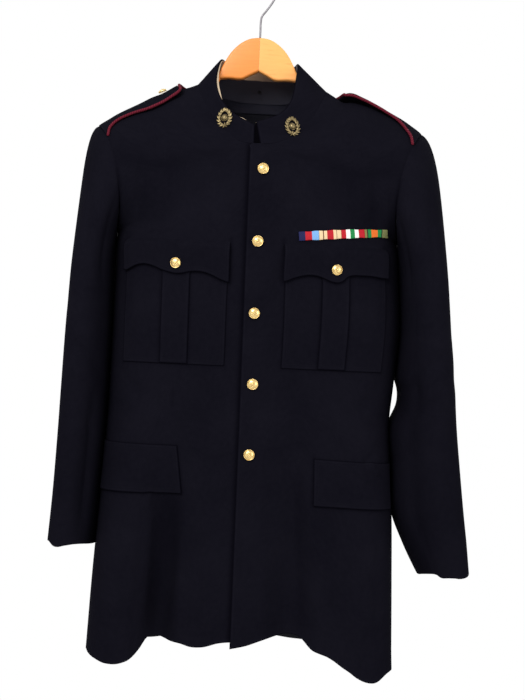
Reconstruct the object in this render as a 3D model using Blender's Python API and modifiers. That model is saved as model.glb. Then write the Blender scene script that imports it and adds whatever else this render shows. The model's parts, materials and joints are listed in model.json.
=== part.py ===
"""Military dress tunic hanging on a wooden coat hanger.

Metres, +Z up. The tunic faces -Y, and +X is the wearer's left. The origin is the
inside top of the hook's crook, where the hanger hangs. Inside this script lengths
are millimetres, and "drop" is the distance below the origin.
"""

import math

import bmesh
import bpy
import numpy as np
from mathutils import Matrix, Vector

MM = 0.001

# Cloth
WALL = 2.0
SEAM_GAP = 0.3
LAY_GAP = 0.35
POCKET_CLOTH = 1.4
STRAP_CLOTH = 2.6
COLLAR_CLOTH = 2.4
LINING_CLOTH = 1.2
LINING_GAP = 0.9

# Grid of the panels
ARMHOLE_ROWS = 9
BODY_ROWS = 11
FRONT_COLUMNS = 14
BACK_COLUMNS = 9
UNDERARM = 0.66
FRONT_NECK_ROW = 4
BACK_NECK_ROW = 6
NECK_FRONT = UNDERARM + (1 - UNDERARM) * FRONT_NECK_ROW / ARMHOLE_ROWS
NECK_BACK = UNDERARM + (1 - UNDERARM) * BACK_NECK_ROW / ARMHOLE_ROWS

# Centre front edge, from the hem (0) to the neck (1). Its place across is per side.
# at, depth, drop
CENTRE_FRONT = (
    (0.00, -84, 988),
    (0.20, -80, 846),
    (0.40, -75, 703),
    (0.56, -75, 589),
    (0.68, -80, 503),
    (0.81, -86, 411),
    (0.92, -83, 332),
    (1.00, -80, 275),
)

# How far each front runs past the centre: the wearer's left laps over.
# side, at the neck, at the hem
LAP_EDGE = {1: (12.5, 9.0), -1: (20.0, 20.0)}
LAP_RISE = WALL + 0.8
LAP_FADE = (24.0, 70.0)

# Front neckline, from the centre front (0) to the neck point (1)
# at, across, depth, drop
FRONT_NECKLINE = (
    (0.00, 0, -80.0, 275.0),
    (0.20, 24, -78.5, 271.5),
    (0.40, 46, -70.5, 257.0),
    (0.60, 67, -54.5, 234.0),
    (0.80, 84, -31.0, 204.5),
    (1.00, 93.5, -0.15, 178.5),
)
# The wearer's left of the neckline hangs this much lower, half way between two places
NECK_SAG = 7.0
SAG_START = 0.2
SAG_END = 0.88

# Centre back seam, from the hem (0) to the neck (1)
# at, depth, drop
CENTRE_BACK = (
    (0.00, 82, 1008),
    (0.20, 76, 844),
    (0.40, 68, 680),
    (0.52, 65, 581),
    (0.66, 78, 466),
    (0.82, 85, 335),
    (0.92, 74, 252),
    (1.00, 51, 187),
)

# Back neckline, from the centre back (0) to the neck point (1)
# at, across, depth, drop
BACK_NECKLINE = (
    (0.00, 0.15, 51.0, 187.0),
    (0.33, 34, 47.0, 186.5),
    (0.67, 70, 30.0, 182.5),
    (1.00, 93.5, 0.15, 178.5),
)

# Side seam, from the hem (0) to the underarm (1)
# at, wearer's right across, wearer's left across, drop
SIDE_SEAM = (
    (0.00, 221, 228, 1020),
    (0.20, 216, 223, 897),
    (0.37, 210, 218, 792),
    (0.49, 206, 212, 718),
    (0.58, 204, 208.5, 662),
    (0.66, 203, 212, 613),
    (0.80, 202, 217.5, 527),
    (1.00, 201, 208, 404),
)

# Armhole, from the underarm (0) to the shoulder tip (1)
# at, across, front depth, front drop, back across, back depth, back drop
ARMHOLE = (
    (0.00, 201, -0.15, 404, 201, 0.15, 404),
    (0.15, 198, -30, 393, 199, 28, 391),
    (0.33, 195, -56, 360, 198, 52, 356),
    (0.55, 200, -65, 315, 203, 60, 311),
    (0.78, 217, -50, 267, 219, 46, 264),
    (0.90, 230, -26, 249, 231, 24, 246),
    (1.00, 239, -0.15, 237, 239, 0.15, 237),
)
ARMHOLE_SPREAD = 7.0  # the wearer's left armhole sits this much further out, low down
SHOULDER_FALL = 9.5  # the wearer's right shoulder hangs this much lower at its tip

# Shoulder seam, below the straight line from the neck point (0) to the shoulder tip (1)
# at, wearer's right, wearer's left
SHOULDER_LINE = (
    (0.00, -1.5, 0.0),
    (0.08, -2.4, 2.0),
    (0.20, -5.0, 4.5),
    (0.28, -5.6, -1.0),
    (0.38, -6.0, -4.5),
    (0.50, -5.7, -6.0),
    (0.65, -4.7, -5.5),
    (0.80, -3.5, -4.2),
    (0.92, -1.0, -2.0),
    (1.00, 0.0, 0.0),
)
SHOULDER_START = 0.88  # how far up the panel the cloth starts to follow that seam

# How each row of a front leaves its two edges: turn in degrees, reach in millimetres
# at, inner turn, inner reach, outer turn, outer reach
FRONT_ROWS = (
    (0.00, 0, 150, 90, 74),
    (0.33, 0, 150, 90, 68),
    (0.60, 0, 150, 90, 70),
    (0.66, 0, 150, 90, 66),
    (0.70, 0, 135, 66, 44),
    (0.76, 0, 110, 36, 44),
    (0.82, 0, 80, 25, 50),
    (0.86, 9, 64, 25, 50),
    (0.90, 22, 50, 26, 50),
    (0.96, 16, 46, 14, 46),
    (1.00, 0, 46, 0, 46),
)
BACK_ROWS = (
    (0.00, 0, 140, 90, 72),
    (0.33, 0, 130, 90, 60),
    (0.60, 0, 140, 90, 68),
    (0.66, 0, 140, 90, 62),
    (0.70, 0, 125, 64, 42),
    (0.76, 1, 100, 34, 44),
    (0.84, 4, 80, 24, 46),
    (0.92, 14, 52, 20, 46),
    (1.00, 0, 46, 0, 46),
)

# Hem, below the straight line from its centre to the side seam
# at, wearer's right, wearer's left
FRONT_HEM = (
    (0.00, -11, 0),
    (0.08, -11, -7),
    (0.16, -10, -17),
    (0.24, -5, -23),
    (0.30, -6, -26),
    (0.36, -12, -24),
    (0.42, -13, -10),
    (0.46, -14, -7),
    (0.50, -16, -4),
    (0.53, -17, 0),
    (0.56, -12, 4),
    (0.60, 6, 11),
    (0.65, 14, 19),
    (0.72, 13, 21),
    (0.78, 6, 8),
    (0.84, 0, 5),
    (0.90, -3, 8),
    (1.00, 0, 0),
)
HEM_REACH = 0.40

# Largest folds of the skirt: side of the wearer, front or back, middle across
# the panel, half width, how far the cloth moves out at the hem, where it fades out
FOLDS = (
    (-1, "front", 0.46, 0.17, -34, 0.42),
    (-1, "front", 0.76, 0.18, 12, 0.40),
    (1, "front", 0.30, 0.17, -22, 0.40),
    (1, "front", 0.74, 0.20, 22, 0.44),
    (-1, "back", 0.52, 0.20, -18, 0.46),
    (1, "back", 0.56, 0.22, -14, 0.40),
    (1, "back", 0.18, 0.15, 9, 0.38),
)

# Collar's top edge, from where its ends meet (0) to the centre back (1)
# at, wearer's right across, wearer's left across, depth, right drop, left drop
COLLAR_TOP = (
    (0.00, 6.9, -5.1, -74.0, 245.5, 242.0),
    (0.08, 17.0, 8.5, -73.0, 241.0, 237.0),
    (0.20, 37.5, 30.0, -66.0, 228.5, 227.5),
    (0.34, 54.5, 48.5, -47.0, 206.0, 205.0),
    (0.48, 61.0, 51.5, -24.0, 168.0, 170.0),
    (0.60, 61.0, 54.0, -2.0, 141.0, 141.0),
    (0.76, 48.0, 44.0, 28.0, 138.5, 138.5),
    (0.90, 21.0, 19.0, 42.0, 139.5, 139.5),
    (1.00, 0.0, 0.0, 45.0, 140.0, 140.0),
)
COLLAR_MEETING = -6.0  # its ends meet this far to the wearer's right of the middle
COLLAR_OPENING = 0.6
COLLAR_LEVELS = (0.0, 0.35, 0.7, 1.0)
COLLAR_SEAM = 1.4
# The collar's lining, as shares of its height: where it starts, how high it reaches,
# how much higher near the front, and over how many columns
LINING_START = 0.08
LINING_HEIGHT = 0.91
LINING_FRONT = 0.05
LINING_COLUMNS = 5
FACING_REACH = 0.34
FACING_SEAM = 0.004

# Sleeves below the armhole
# drop, inner across, outer across, half depth, middle depth
SLEEVE_RINGS = {
    -1: (
        (470, 206.5, 266, 80, -2),
        (549, 207.5, 270, 76, -4),
        (626, 208.5, 272, 72, -8),
        (700, 211.5, 274, 66, -13),
        (785, 214.6, 275.5, 60, -19),
        (853, 218.5, 277, 54, -25),
    ),
    1: (
        (470, 219, 287, 80, -2),
        (532, 223.2, 293.5, 75, -4),
        (618, 223.5, 302, 69, -8),
        (662, 215, 306, 64, -11),
        (724, 218, 312, 58, -15),
        (790, 225, 320, 53, -19),
        (873, 263, 331.5, 50, -25),
    ),
}
CAP_ROWS = 5
SLEEVE_ROWS = 7
SLEEVE_SEAM = 6 / 18
SLEEVE_SEAM_GAP = 0.0005  # as a share of the way round
SLEEVE_SQUARENESS = 2.3  # 2 is an ellipse
# How the sleeve's cloth leaves the armhole: across, depth, rise
LEAVES_TOP = {-1: (62, 0, -19), 1: (84, 0, -19)}
LEAVES_EDGE = (44, 32, -89)
LEAVES_BOTTOM = (3, 0, -50)
UNDERARM_CLEARANCE = WALL * 2 + 1.0
ARMHOLE_CLEARANCE = 1.9

# Front buttons: distance along the cloth from the centre line, drop
FRONT_BUTTONS = ((7.8, 310), (5.0, 412.5), (4.6, 513.5), (6.7, 614), (6.2, 714))
BUTTON_RADIUS = 8.4
BUTTON_HEIGHT = 5.2
POCKET_BUTTON_RADIUS = 7.8
STRAP_BUTTON_RADIUS = 6.5
STRAP_BUTTON_HEIGHT = 4.4
TURNED_STEPS = 12

# Breast pockets: distances along the cloth from the centre line
POCKET_SHIFT = {-1: -7.0, 1: 4.0}  # added to each of them, by side
POCKET_INNER = 42
POCKET_OUTER = 192
POCKET_TOP = 418
POCKET_BOTTOM = 590
POCKET_MIDDLE = 115
POCKET_BUTTON_DROP = 447
PLEAT_WIDTH = 40
FLAP_TOP = 411
FLAP_MARGIN = 2.5
FLAP_ROWS = (0.0, 0.45, 0.86, 1.0)
COLUMN_SPACE = 0.012  # closest that two columns of one piece may stand
# Lower edge of the flap, by side: distance outwards from its middle, drop
FLAP_EDGE = {
    -1: ((-77, 471), (-64, 468.5), (-46, 461), (-30, 458), (-14, 460), (0, 462),
         (16, 458.5), (32, 452.5), (46, 449.5), (60, 452), (77, 458.5)),
    1: ((-77, 467.5), (-64, 463), (-46, 458), (-30, 457), (-14, 461.5), (0, 465.5),
        (16, 456.5), (32, 453.5), (46, 453.5), (60, 454.5), (77, 455.5)),
}

# Lower flaps, by side: distance along the cloth from the centre line and drop, at the
# inner end's top and bottom and at the outer end's top and bottom
LOWER_FLAP = {
    -1: ((97, 706), (86, 774), (226, 706), (226, 777.5)),
    1: ((99, 716), (103, 783), (226, 721), (226, 787.5)),
}
LOWER_FLAP_ROWS = 3
LOWER_FLAP_CLOTH = 1.8
LOWER_FLAP_LIFT = 0.35

# Ribbon bar
RIBBON_WIDTHS = (28.7, 31.5, 33.4, 34.4)
RIBBON_HEIGHT = 12.5
RIBBON_CLOTH = 1.5
RIBBON_START = 62.0
RIBBON_DROP = (402.0, 389.5)

# Shoulder straps
STRAP_INNER = {-1: 0.195, 1: 0.165}
STRAP_OUTER = 0.985
# at, how far the strap reaches down the front and the back, as shares of the panel, by side
STRAP_SPREAD = {
    -1: ((0.00, 0.024, 0.034), (0.50, 0.033, 0.034), (0.80, 0.034, 0.034), (1.00, 0.058, 0.040)),
    1: ((0.00, 0.028, 0.034), (0.50, 0.029, 0.034), (0.80, 0.031, 0.034), (1.00, 0.038, 0.034)),
}
STRAP_STEPS = 3
STRAP_COLUMNS = 9
# at, lift over the wearer's right and left shoulder
STRAP_BOW = (
    (0.00, 5.4, 11.0),
    (0.08, 4.4, 10.8),
    (0.20, 3.0, 9.2),
    (0.34, 2.6, 7.0),
    (0.46, 1.7, 5.2),
    (0.62, 1.2, 3.2),
    (0.77, 0.8, 2.3),
    (0.90, 0.4, 1.0),
    (1.00, 0.3, 0.3),
)
PIPING_RADIUS = 1.5
PIPING_GAP = 1.2
CORNER_REACH = 1.4
STRAP_BUTTON_COLUMN = 2

# Hanger
HANGER_SHIFT = -6.0
HANGER_THICKNESS = 13.0
HANGER_EDGE = 3.2
# Outline of one arm from the middle of the head outwards: across, drop
HANGER_TOP = ((0, 103), (14, 105), (26, 111), (36, 119.5), (43, 128), (49, 138), (54, 148), (59, 157),
              (68, 167), (86, 184.5))
HANGER_SEAM_START = 106
HANGER_REACH = 216
HANGER_SEAM_POINTS = 11
# Round end, measured from where the top stops
HANGER_TIP = ((5, 6), (3, 16), (-6, 20))
HANGER_UNDER = ((200, 245), (150, 223), (102, 207), (77, 192), (60, 174), (56, 166), (44, 165), (24, 165),
                (12, 159), (0, 153))
HANGER_CLEARANCE = 4.5

# Hook
WIRE_RADIUS = 1.5
CROOK_RADIUS = 23.5
CROOK_DROP = 22.0
# Where the crook starts and ends round its centre, in degrees
CROOK_START = -48
CROOK_END = 212
CROOK_STEPS = 16
# Stem from the head up to the crook: across, drop
STEM = ((-6.0, 102.7), (-6.0, 92), (-6.0, 80), (-4.8, 71), (1.5, 62), (9.0, 51))

# Collar badges: a domed boss on a leafy plate. The boss is a profile of (radius, height)
BADGE_RADIUS = 12.5
BADGE_RISE = {-1: 0.48, 1: 0.35}  # height on the collar, as a share of it
BADGE_PLATE = 1.2
BADGE_LOBES = 11
BADGE_VALLEY = 0.86  # depth of the edge between two lobes, as a share of the radius
BADGE_COLUMN = 2  # the badge sits between this collar column and the next
BADGE_SHARE = {-1: 0.36, 1: 0.15}  # how far from the one to the other
BADGE_SHAPE = (0.86, 1.12)  # across and up, as shares of its radius
BOSS = ((0, 4.2), (2.6, 3.7), (4.4, 2.2), (5.0, 0.6), (0, 0.6))
BADGE_GAP = 0.75


def through(rows, at):
    """A smooth curve read from a table whose first column is the place along it."""
    table = np.array(rows, dtype=float)
    keys, values = table[:, 0], table[:, 1:]
    slopes = np.gradient(values, keys, axis=0)
    at = np.clip(np.atleast_1d(at).astype(float), keys[0], keys[-1])
    k = np.clip(np.searchsorted(keys, at, side="right") - 1, 0, len(keys) - 2)
    span = (keys[k + 1] - keys[k])[:, None]
    t = ((at - keys[k]) / span[:, 0])[:, None]
    start, end = values[k], values[k + 1]
    out = (2 * t**3 - 3 * t**2 + 1) * start + (3 * t**2 - 2 * t**3) * end
    out += (t**3 - 2 * t**2 + t) * span * slopes[k] + (t**3 - t**2) * span * slopes[k + 1]
    return out


def reading(rows, at):
    return through(rows, at)[0]


def ease(value):
    value = min(max(value, 0.0), 1.0)
    return value * value * (3 - 2 * value)


def evenly(points, count):
    """The same line with its points an equal distance apart."""
    steps = np.linalg.norm(np.diff(points, axis=0), axis=1)
    run = np.concatenate([[0.0], np.cumsum(steps)])
    wanted = np.linspace(0, run[-1], count)
    return np.stack([np.interp(wanted, run, points[:, i]) for i in range(3)], axis=1)


def armhole_point(side, at, front):
    across, depth, drop, back_across, back_depth, back_drop = reading(ARMHOLE, at)
    if not front:
        across, depth, drop = back_across, back_depth, back_drop
    if side > 0:
        across += ARMHOLE_SPREAD * (1 - at)
    else:
        drop += SHOULDER_FALL * at**4
    return np.array([across, depth, -drop])


class Panel:
    """One front or back: rows of cloth from its centre edge to the side seam or armhole."""

    samples = 61

    def __init__(self, side, front):
        self.side = side
        self.front = front
        self.rows_read = {}

    def inner_edge(self, v):
        neck = NECK_FRONT if self.front else NECK_BACK
        if self.front:
            at_neck, at_hem = LAP_EDGE[self.side]
            if v <= neck:
                depth, drop = reading(CENTRE_FRONT, v / neck)
                across = at_hem + (at_neck - at_hem) * v / neck
                return np.array([-across, depth, -drop])
            at = (v - neck) / (1 - neck)
            across, depth, drop = reading(FRONT_NECKLINE, at)
            across -= at_neck * max(0.0, 1 - at * (ARMHOLE_ROWS - FRONT_NECK_ROW))
            if self.side > 0:
                share = (at - SAG_START) / (SAG_END - SAG_START)
                drop += NECK_SAG * math.sin(math.pi * min(max(share, 0.0), 1.0)) ** 2
            return np.array([across, depth, -drop])
        if v <= neck:
            depth, drop = reading(CENTRE_BACK, v / neck)
            return np.array([SEAM_GAP / 2, depth, -drop])
        across, depth, drop = reading(BACK_NECKLINE, (v - neck) / (1 - neck))
        return np.array([across, depth, -drop])

    def outer_edge(self, v):
        if v > UNDERARM:
            return armhole_point(self.side, (v - UNDERARM) / (1 - UNDERARM), self.front)
        right, left, drop = reading(SIDE_SEAM, v / UNDERARM)
        depth = -SEAM_GAP / 2 if self.front else SEAM_GAP / 2
        return np.array([left if self.side > 0 else right, depth, -drop])

    def row(self, v):
        key = round(v, 5)
        if key in self.rows_read:
            return self.rows_read[key]
        inner, outer = self.inner_edge(v), self.outer_edge(v)
        table = FRONT_ROWS if self.front else BACK_ROWS
        inner_turn, inner_reach, outer_turn, outer_reach = reading(table, v)
        face = -1 if self.front else 1
        turn_in, turn_out = math.radians(inner_turn), math.radians(outer_turn)
        room = abs(outer[0] - inner[0])
        inner_reach = min(inner_reach, 0.7 * room)
        first = inner + inner_reach * np.array([math.cos(turn_in), face * math.sin(turn_in), 0])
        last = outer + outer_reach * np.array([-math.cos(turn_out), face * math.sin(turn_out), 0])
        t = np.linspace(0, 1, 4 * self.samples)[:, None]
        line = (1 - t) ** 3 * inner + 3 * t * (1 - t) ** 2 * first
        line = line + 3 * t**2 * (1 - t) * last + t**3 * outer
        line[:, 2] = (inner[2] + (outer[2] - inner[2]) * t)[:, 0]
        line = evenly(line, self.samples)
        line = self.shaped(line, v)
        self.rows_read[key] = line
        return line

    def shaped(self, line, v):
        """Adds the lap, the folds, the hem's waves and the shoulder's slope to a row."""
        along = np.linspace(0, 1, self.samples)
        tangent = np.gradient(line, axis=0)
        face = -1 if self.front else 1
        out = np.stack([tangent[:, 1], -tangent[:, 0], np.zeros(self.samples)], axis=1)
        out /= np.linalg.norm(out, axis=1)[:, None]
        if not self.front:
            out = -out
        move = np.zeros(self.samples)
        for side, where, middle, half, reach, top in FOLDS:
            if side != self.side or (where == "front") != self.front or v >= top:
                continue
            near = np.clip(np.abs(along - middle) / half, 0, 1)
            bump = np.cos(near * math.pi / 2) ** 2
            move += reach * bump * (1 - v / top) ** 1.3
        line = line + out * move[:, None]
        if self.front and self.side > 0:
            fade = (LAP_FADE[1] - line[:, 0]) / (LAP_FADE[1] - LAP_FADE[0])
            line[:, 1] += face * LAP_RISE * np.array([ease(f) for f in fade])
        if self.front and v < HEM_REACH:
            column = 1 if self.side > 0 else 0
            extra = through(FRONT_HEM, along)[:, column]
            line[:, 2] -= extra * (1 - v / HEM_REACH) ** 1.6
        if v > SHOULDER_START:
            column = 1 if self.side > 0 else 0
            share = ease((v - SHOULDER_START) / (1 - SHOULDER_START))
            line[:, 2] -= through(SHOULDER_LINE, along)[:, column] * share
        return line

    def point(self, u, v):
        """A place on the panel's inner face, across u (0 to 1) and up v (0 to 1)."""
        line = self.row(v)
        at = min(max(u, 0.0), 1.0) * (self.samples - 1)
        low = min(int(at), self.samples - 2)
        part = at - low
        spot = line[low] * (1 - part) + line[low + 1] * part
        return np.array([spot[0] * self.side, spot[1], spot[2]])

    def normal(self, u, v):
        du, dv = 0.015, 0.008
        across = self.point(min(u + du, 1), v) - self.point(max(u - du, 0), v)
        upward = self.point(u, min(v + dv, 1)) - self.point(u, max(v - dv, 0))
        out = np.cross(across, upward) * self.outward()
        return out / np.linalg.norm(out)

    def outward(self):
        return self.side if self.front else -self.side

    def outside(self, u, v, lift):
        """A place this far outside the panel's inner face."""
        return self.point(u, v) + self.normal(u, v) * lift

    def level(self, u, drop):
        """The v at which the cloth is this far down."""
        low, high = 0.0, 1.0
        for _ in range(24):
            middle = (low + high) / 2
            if self.point(u, middle)[2] < -drop:
                low = middle
            else:
                high = middle
        return (low + high) / 2

    def place(self, run, drop):
        """The u at which the cloth is this far from the centre line, measured along it."""
        u = 0.5
        for _ in range(6):
            line = self.row(self.level(u, drop))
            steps = np.linalg.norm(np.diff(line, axis=0), axis=1)
            start = line[0][0]
            u = min(max((run - start) / steps.sum(), 0.0), 1.0)
        return u


PANELS = {(side, front): Panel(side, front) for side in (-1, 1) for front in (True, False)}


def panel_levels():
    body = np.linspace(0, UNDERARM, BODY_ROWS + 1)
    armhole = np.linspace(UNDERARM, 1, ARMHOLE_ROWS + 1)
    return np.concatenate([body, armhole[1:]])


def panel_columns(front):
    return np.linspace(0, 1, (FRONT_COLUMNS if front else BACK_COLUMNS) + 1)


# ---------------------------------------------------------------- objects

for leftover in list(bpy.data.objects):
    bpy.data.objects.remove(leftover, do_unlink=True)
TUNIC = bpy.data.collections.new("military_dress_tunic")
bpy.context.scene.collection.children.link(TUNIC)
GUIDES = bpy.data.collections.new("guides")
bpy.context.scene.collection.children.link(GUIDES)


def finish(name, colour, roughness, metallic=0.0):
    material = bpy.data.materials.new(name)
    material.use_nodes = True
    shader = material.node_tree.nodes["Principled BSDF"]
    shader.inputs["Base Color"].default_value = (*colour, 1)
    shader.inputs["Roughness"].default_value = roughness
    shader.inputs["Metallic"].default_value = metallic
    return material


NAVY = (0.0065, 0.0065, 0.0115)
LINING = (0.013, 0.012, 0.015)
PALE_LINING = (0.42, 0.34, 0.25)
PIPING_RED = (0.42, 0.008, 0.022)
GILT = (0.86, 0.62, 0.24)
ANTIQUE_BRASS = (0.28, 0.21, 0.10)
WOOD_WARM = (0.80, 0.37, 0.11)
WOOD_PALE = (0.86, 0.48, 0.17)
STEEL = (0.45, 0.45, 0.46)
RIBBON_COLOURS = ((0.30, 0.03, 0.06), (0.72, 0.30, 0.16), (0.60, 0.62, 0.42), (0.75, 0.10, 0.03))


def add_mesh(name, vertices, faces, material):
    mesh = bpy.data.meshes.new(name)
    mesh.from_pydata([tuple(float(c) * MM for c in v) for v in vertices], [], faces)
    mesh.shade_smooth()
    mesh.materials.append(material)
    made = bpy.data.objects.new(name, mesh)
    TUNIC.objects.link(made)
    return made


def thicken(made, thickness, outwards=True):
    wall = made.modifiers.new("wall", "SOLIDIFY")
    wall.thickness = thickness * MM
    wall.offset = 1.0 if outwards else -1.0
    return made


def sheet(name, grid, thickness, material, flip=False, outwards=True):
    """Cloth from a grid of points: rows going up, columns going across."""
    rows, columns = len(grid), len(grid[0])
    vertices = [point for row in grid for point in row]
    faces = []
    for r in range(rows - 1):
        for c in range(columns - 1):
            corner = r * columns + c
            face = (corner, corner + 1, corner + columns + 1, corner + columns)
            faces.append(face[::-1] if flip else face)
    return thicken(add_mesh(name, vertices, faces, material), thickness, outwards)


def side_name(side):
    return "left" if side > 0 else "right"


def body_panel(side, front):
    panel = PANELS[(side, front)]
    grid = [[panel.point(u, v) for u in panel_columns(front)] for v in panel_levels()]
    name = ("front_" if front else "back_") + side_name(side)
    return sheet(name, grid, WALL, finish(name, NAVY, 0.8), flip=panel.outward() < 0)


# ---------------------------------------------------------------- sleeves

def sleeve_ring(side, phi, drop):
    inner, outer, half_depth, middle = reading(SLEEVE_RINGS[side], drop)
    half_width = (outer - inner) / 2
    turn = 2 * math.pi * phi
    c, s = math.cos(turn), math.sin(turn)
    square = 2 / SLEEVE_SQUARENESS
    across = (inner + outer) / 2 + half_width * math.copysign(abs(c) ** square, c)
    depth = middle - half_depth * math.copysign(abs(s) ** square, s)
    return np.array([across, depth, -drop])


def sleeve_start(side, phi):
    """The sleeve's edge at the armhole, and the way the cloth leaves it."""
    front = phi < 0.5
    at = 1 - 2 * phi if front else 2 * phi - 1
    start = armhole_point(side, at, front)
    low = ease(1 - at / 0.45)
    start[0] += SEAM_GAP + (ARMHOLE_CLEARANCE - SEAM_GAP) * ease((1 - at) / 0.35)
    start[0] += (UNDERARM_CLEARANCE - ARMHOLE_CLEARANCE) * low
    start[2] += 0.5 * low
    face = -1 if front else 1
    around = math.sin(2 * math.pi * (phi if front else 1 - phi))
    top, bottom = np.array(LEAVES_TOP[side], float), np.array(LEAVES_BOTTOM, float)
    edge = np.array(LEAVES_EDGE, float) * (1, face, 1)
    if at > 0.45:
        share = ease((at - 0.45) / 0.55)
        leave = top * share + edge * (1 - share)
    else:
        share = ease(at / 0.45)
        leave = edge * share + bottom * (1 - share)
    leave[1] *= max(around, 0.0)
    return start, leave


def sleeve_point(side, phi, down):
    """Down 0 to 1 is the cap, from the armhole to the first ring; 1 to 2 is below it."""
    phi = phi % 1.0
    first_drop = SLEEVE_RINGS[side][0][0]
    last_drop = SLEEVE_RINGS[side][-1][0]
    if down <= 1:
        start, leave = sleeve_start(side, phi)
        end = sleeve_ring(side, phi, first_drop)
        arrive = (sleeve_ring(side, phi, first_drop + 20) - end) / 20
        arrive = arrive * (start[2] - end[2]) * 0.9
        t = down
        spot = (2 * t**3 - 3 * t**2 + 1) * start + (3 * t**2 - 2 * t**3) * end
        spot = spot + (t**3 - 2 * t**2 + t) * leave + (t**3 - t**2) * arrive
    else:
        spot = sleeve_ring(side, phi, first_drop + (last_drop - first_drop) * (down - 1))
    return np.array([spot[0] * side, spot[1], spot[2]])


def sleeve_levels():
    cap = np.linspace(0, 1, CAP_ROWS + 1)
    below = np.linspace(1, 2, SLEEVE_ROWS + 1)
    return np.concatenate([cap, below[1:]])


def sleeve_piece(side, top):
    """The top sleeve goes over the arm's outside, the under sleeve along the body."""
    start, end = (-SLEEVE_SEAM, SLEEVE_SEAM) if top else (SLEEVE_SEAM, 1 - SLEEVE_SEAM)
    steps = round((end - start) * 2 * ARMHOLE_ROWS)
    around = np.linspace(start, end, steps + 1)
    around[0] += SLEEVE_SEAM_GAP
    around[-1] -= SLEEVE_SEAM_GAP
    grid = [[sleeve_point(side, phi, down) for phi in around] for down in sleeve_levels()]
    name = ("sleeve_top_" if top else "sleeve_under_") + side_name(side)
    return sheet(name, grid, WALL, finish(name, NAVY, 0.8), flip=side < 0)


# ---------------------------------------------------------------- collar

def collar_columns():
    """Pairs of bottom and top points from the right front, round the back, to the left."""
    levels = panel_levels()[BODY_ROWS:]
    pairs = []
    for side in (-1, 1):
        front, back = PANELS[(side, True)], PANELS[(side, False)]
        first = front.point(0, levels[FRONT_NECK_ROW])
        second = front.point(0, levels[FRONT_NECK_ROW + 1])
        meeting = COLLAR_MEETING + side * COLLAR_OPENING
        share = (meeting - first[0]) / (second[0] - first[0])
        bottom = [first + (second - first) * share]
        bottom += [front.point(0, v) for v in levels[FRONT_NECK_ROW + 1:]]
        bottom += [back.point(0, v) for v in levels[BACK_NECK_ROW:-1][::-1]]
        bottom[-1][0] = 0
        steps = np.linalg.norm(np.diff(np.array(bottom), axis=0), axis=1)
        run = np.concatenate([[0.0], np.cumsum(steps)]) / steps.sum()
        across, drop = (1, 4) if side > 0 else (0, 3)
        top = [np.array([row[across] * side, row[2], -row[drop]]) for row in through(COLLAR_TOP, run)]
        half = list(zip(bottom, top))
        pairs += half if side < 0 else half[:-1][::-1]
    return pairs


def collar_point(pair, up):
    """A point on a collar column: up 0 at the neckline, 1 at the top edge."""
    bottom, top = pair
    rise = (top - bottom) / np.linalg.norm(top - bottom)
    return bottom + rise * COLLAR_SEAM + (top - bottom - rise * COLLAR_SEAM) * up


def grid_normals(grid):
    points = np.array(grid)
    across = np.gradient(points, axis=1)
    upward = np.gradient(points, axis=0)
    normals = np.cross(across, upward)
    return normals / np.linalg.norm(normals, axis=2)[:, :, None]


def collar_grid(levels):
    return [[collar_point(pair, up) for pair in collar_columns()] for up in levels]


def collar():
    return sheet("collar", collar_grid(COLLAR_LEVELS), COLLAR_CLOTH, finish("collar", NAVY, 0.8), flip=True)


def collar_lining():
    pairs = collar_columns()
    last = len(pairs) - 1
    grid = []
    for up in COLLAR_LEVELS:
        line = []
        for column, pair in enumerate(pairs):
            nearness = ease(1 - min(column, last - column) / LINING_COLUMNS)
            height = LINING_HEIGHT + LINING_FRONT * nearness
            line.append(collar_point(pair, LINING_START + height * up))
        grid.append(line)
    grid = np.array(grid)
    grid = grid + grid_normals(grid) * LINING_GAP
    return sheet("collar_lining", grid, LINING_CLOTH, finish("collar_lining", PALE_LINING, 0.7),
                 flip=True, outwards=False)


def back_neck_facing():
    columns = [u for u in panel_columns(False) if u <= FACING_REACH]
    lowest = panel_levels()[BODY_ROWS + BACK_NECK_ROW - 1]
    grid = []
    for v in (lowest, NECK_BACK - FACING_SEAM):
        left = [PANELS[(1, False)].outside(u, v, -LINING_GAP) for u in columns]
        right = [PANELS[(-1, False)].outside(u, v, -LINING_GAP) for u in columns]
        middle = (left[0] + right[0]) / 2
        grid.append(right[:0:-1] + [middle] + left[1:])
    return sheet("back_neck_facing", grid, LINING_CLOTH, finish("back_neck_facing", LINING, 0.7),
                 flip=True, outwards=False)


# ---------------------------------------------------------------- what lies on the fronts

def columns_between(panel, start, end):
    own = [u for u in panel_columns(panel.front) if start + COLUMN_SPACE < u < end - COLUMN_SPACE]
    return np.array([start, *own, end])


def patch(name, side, columns, top, bottom, lift, thickness, rows, material):
    """Cloth lying on a front between two edges given as functions of the column."""
    panel = PANELS[(side, True)]
    grid = []
    for r in range(rows + 1):
        share = r / rows
        line = []
        for u in columns:
            drop = bottom(u) + (top(u) - bottom(u)) * share
            line.append(panel.outside(u, panel.level(u, drop), lift))
        grid.append(line)
    return sheet(name, grid, thickness, material, flip=side < 0)


ON_PANEL = WALL + LAY_GAP
ON_POCKET = ON_PANEL + POCKET_CLOTH + LAY_GAP
ON_PLEAT = ON_POCKET + POCKET_CLOTH + LAY_GAP


def pocket_places(side):
    panel = PANELS[(side, True)]
    middle_drop = (POCKET_TOP + POCKET_BOTTOM) / 2
    runs = (POCKET_INNER, POCKET_MIDDLE, POCKET_OUTER)
    return [panel.place(run + POCKET_SHIFT[side], middle_drop) for run in runs]


def breast_pocket(side):
    panel = PANELS[(side, True)]
    inner, _, outer = pocket_places(side)
    name = "breast_pocket_" + side_name(side)
    columns = columns_between(panel, inner, outer)
    patch(name, side, columns, lambda u: POCKET_TOP, lambda u: POCKET_BOTTOM, ON_PANEL,
          POCKET_CLOTH, 5, finish(name, NAVY, 0.8))


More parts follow.
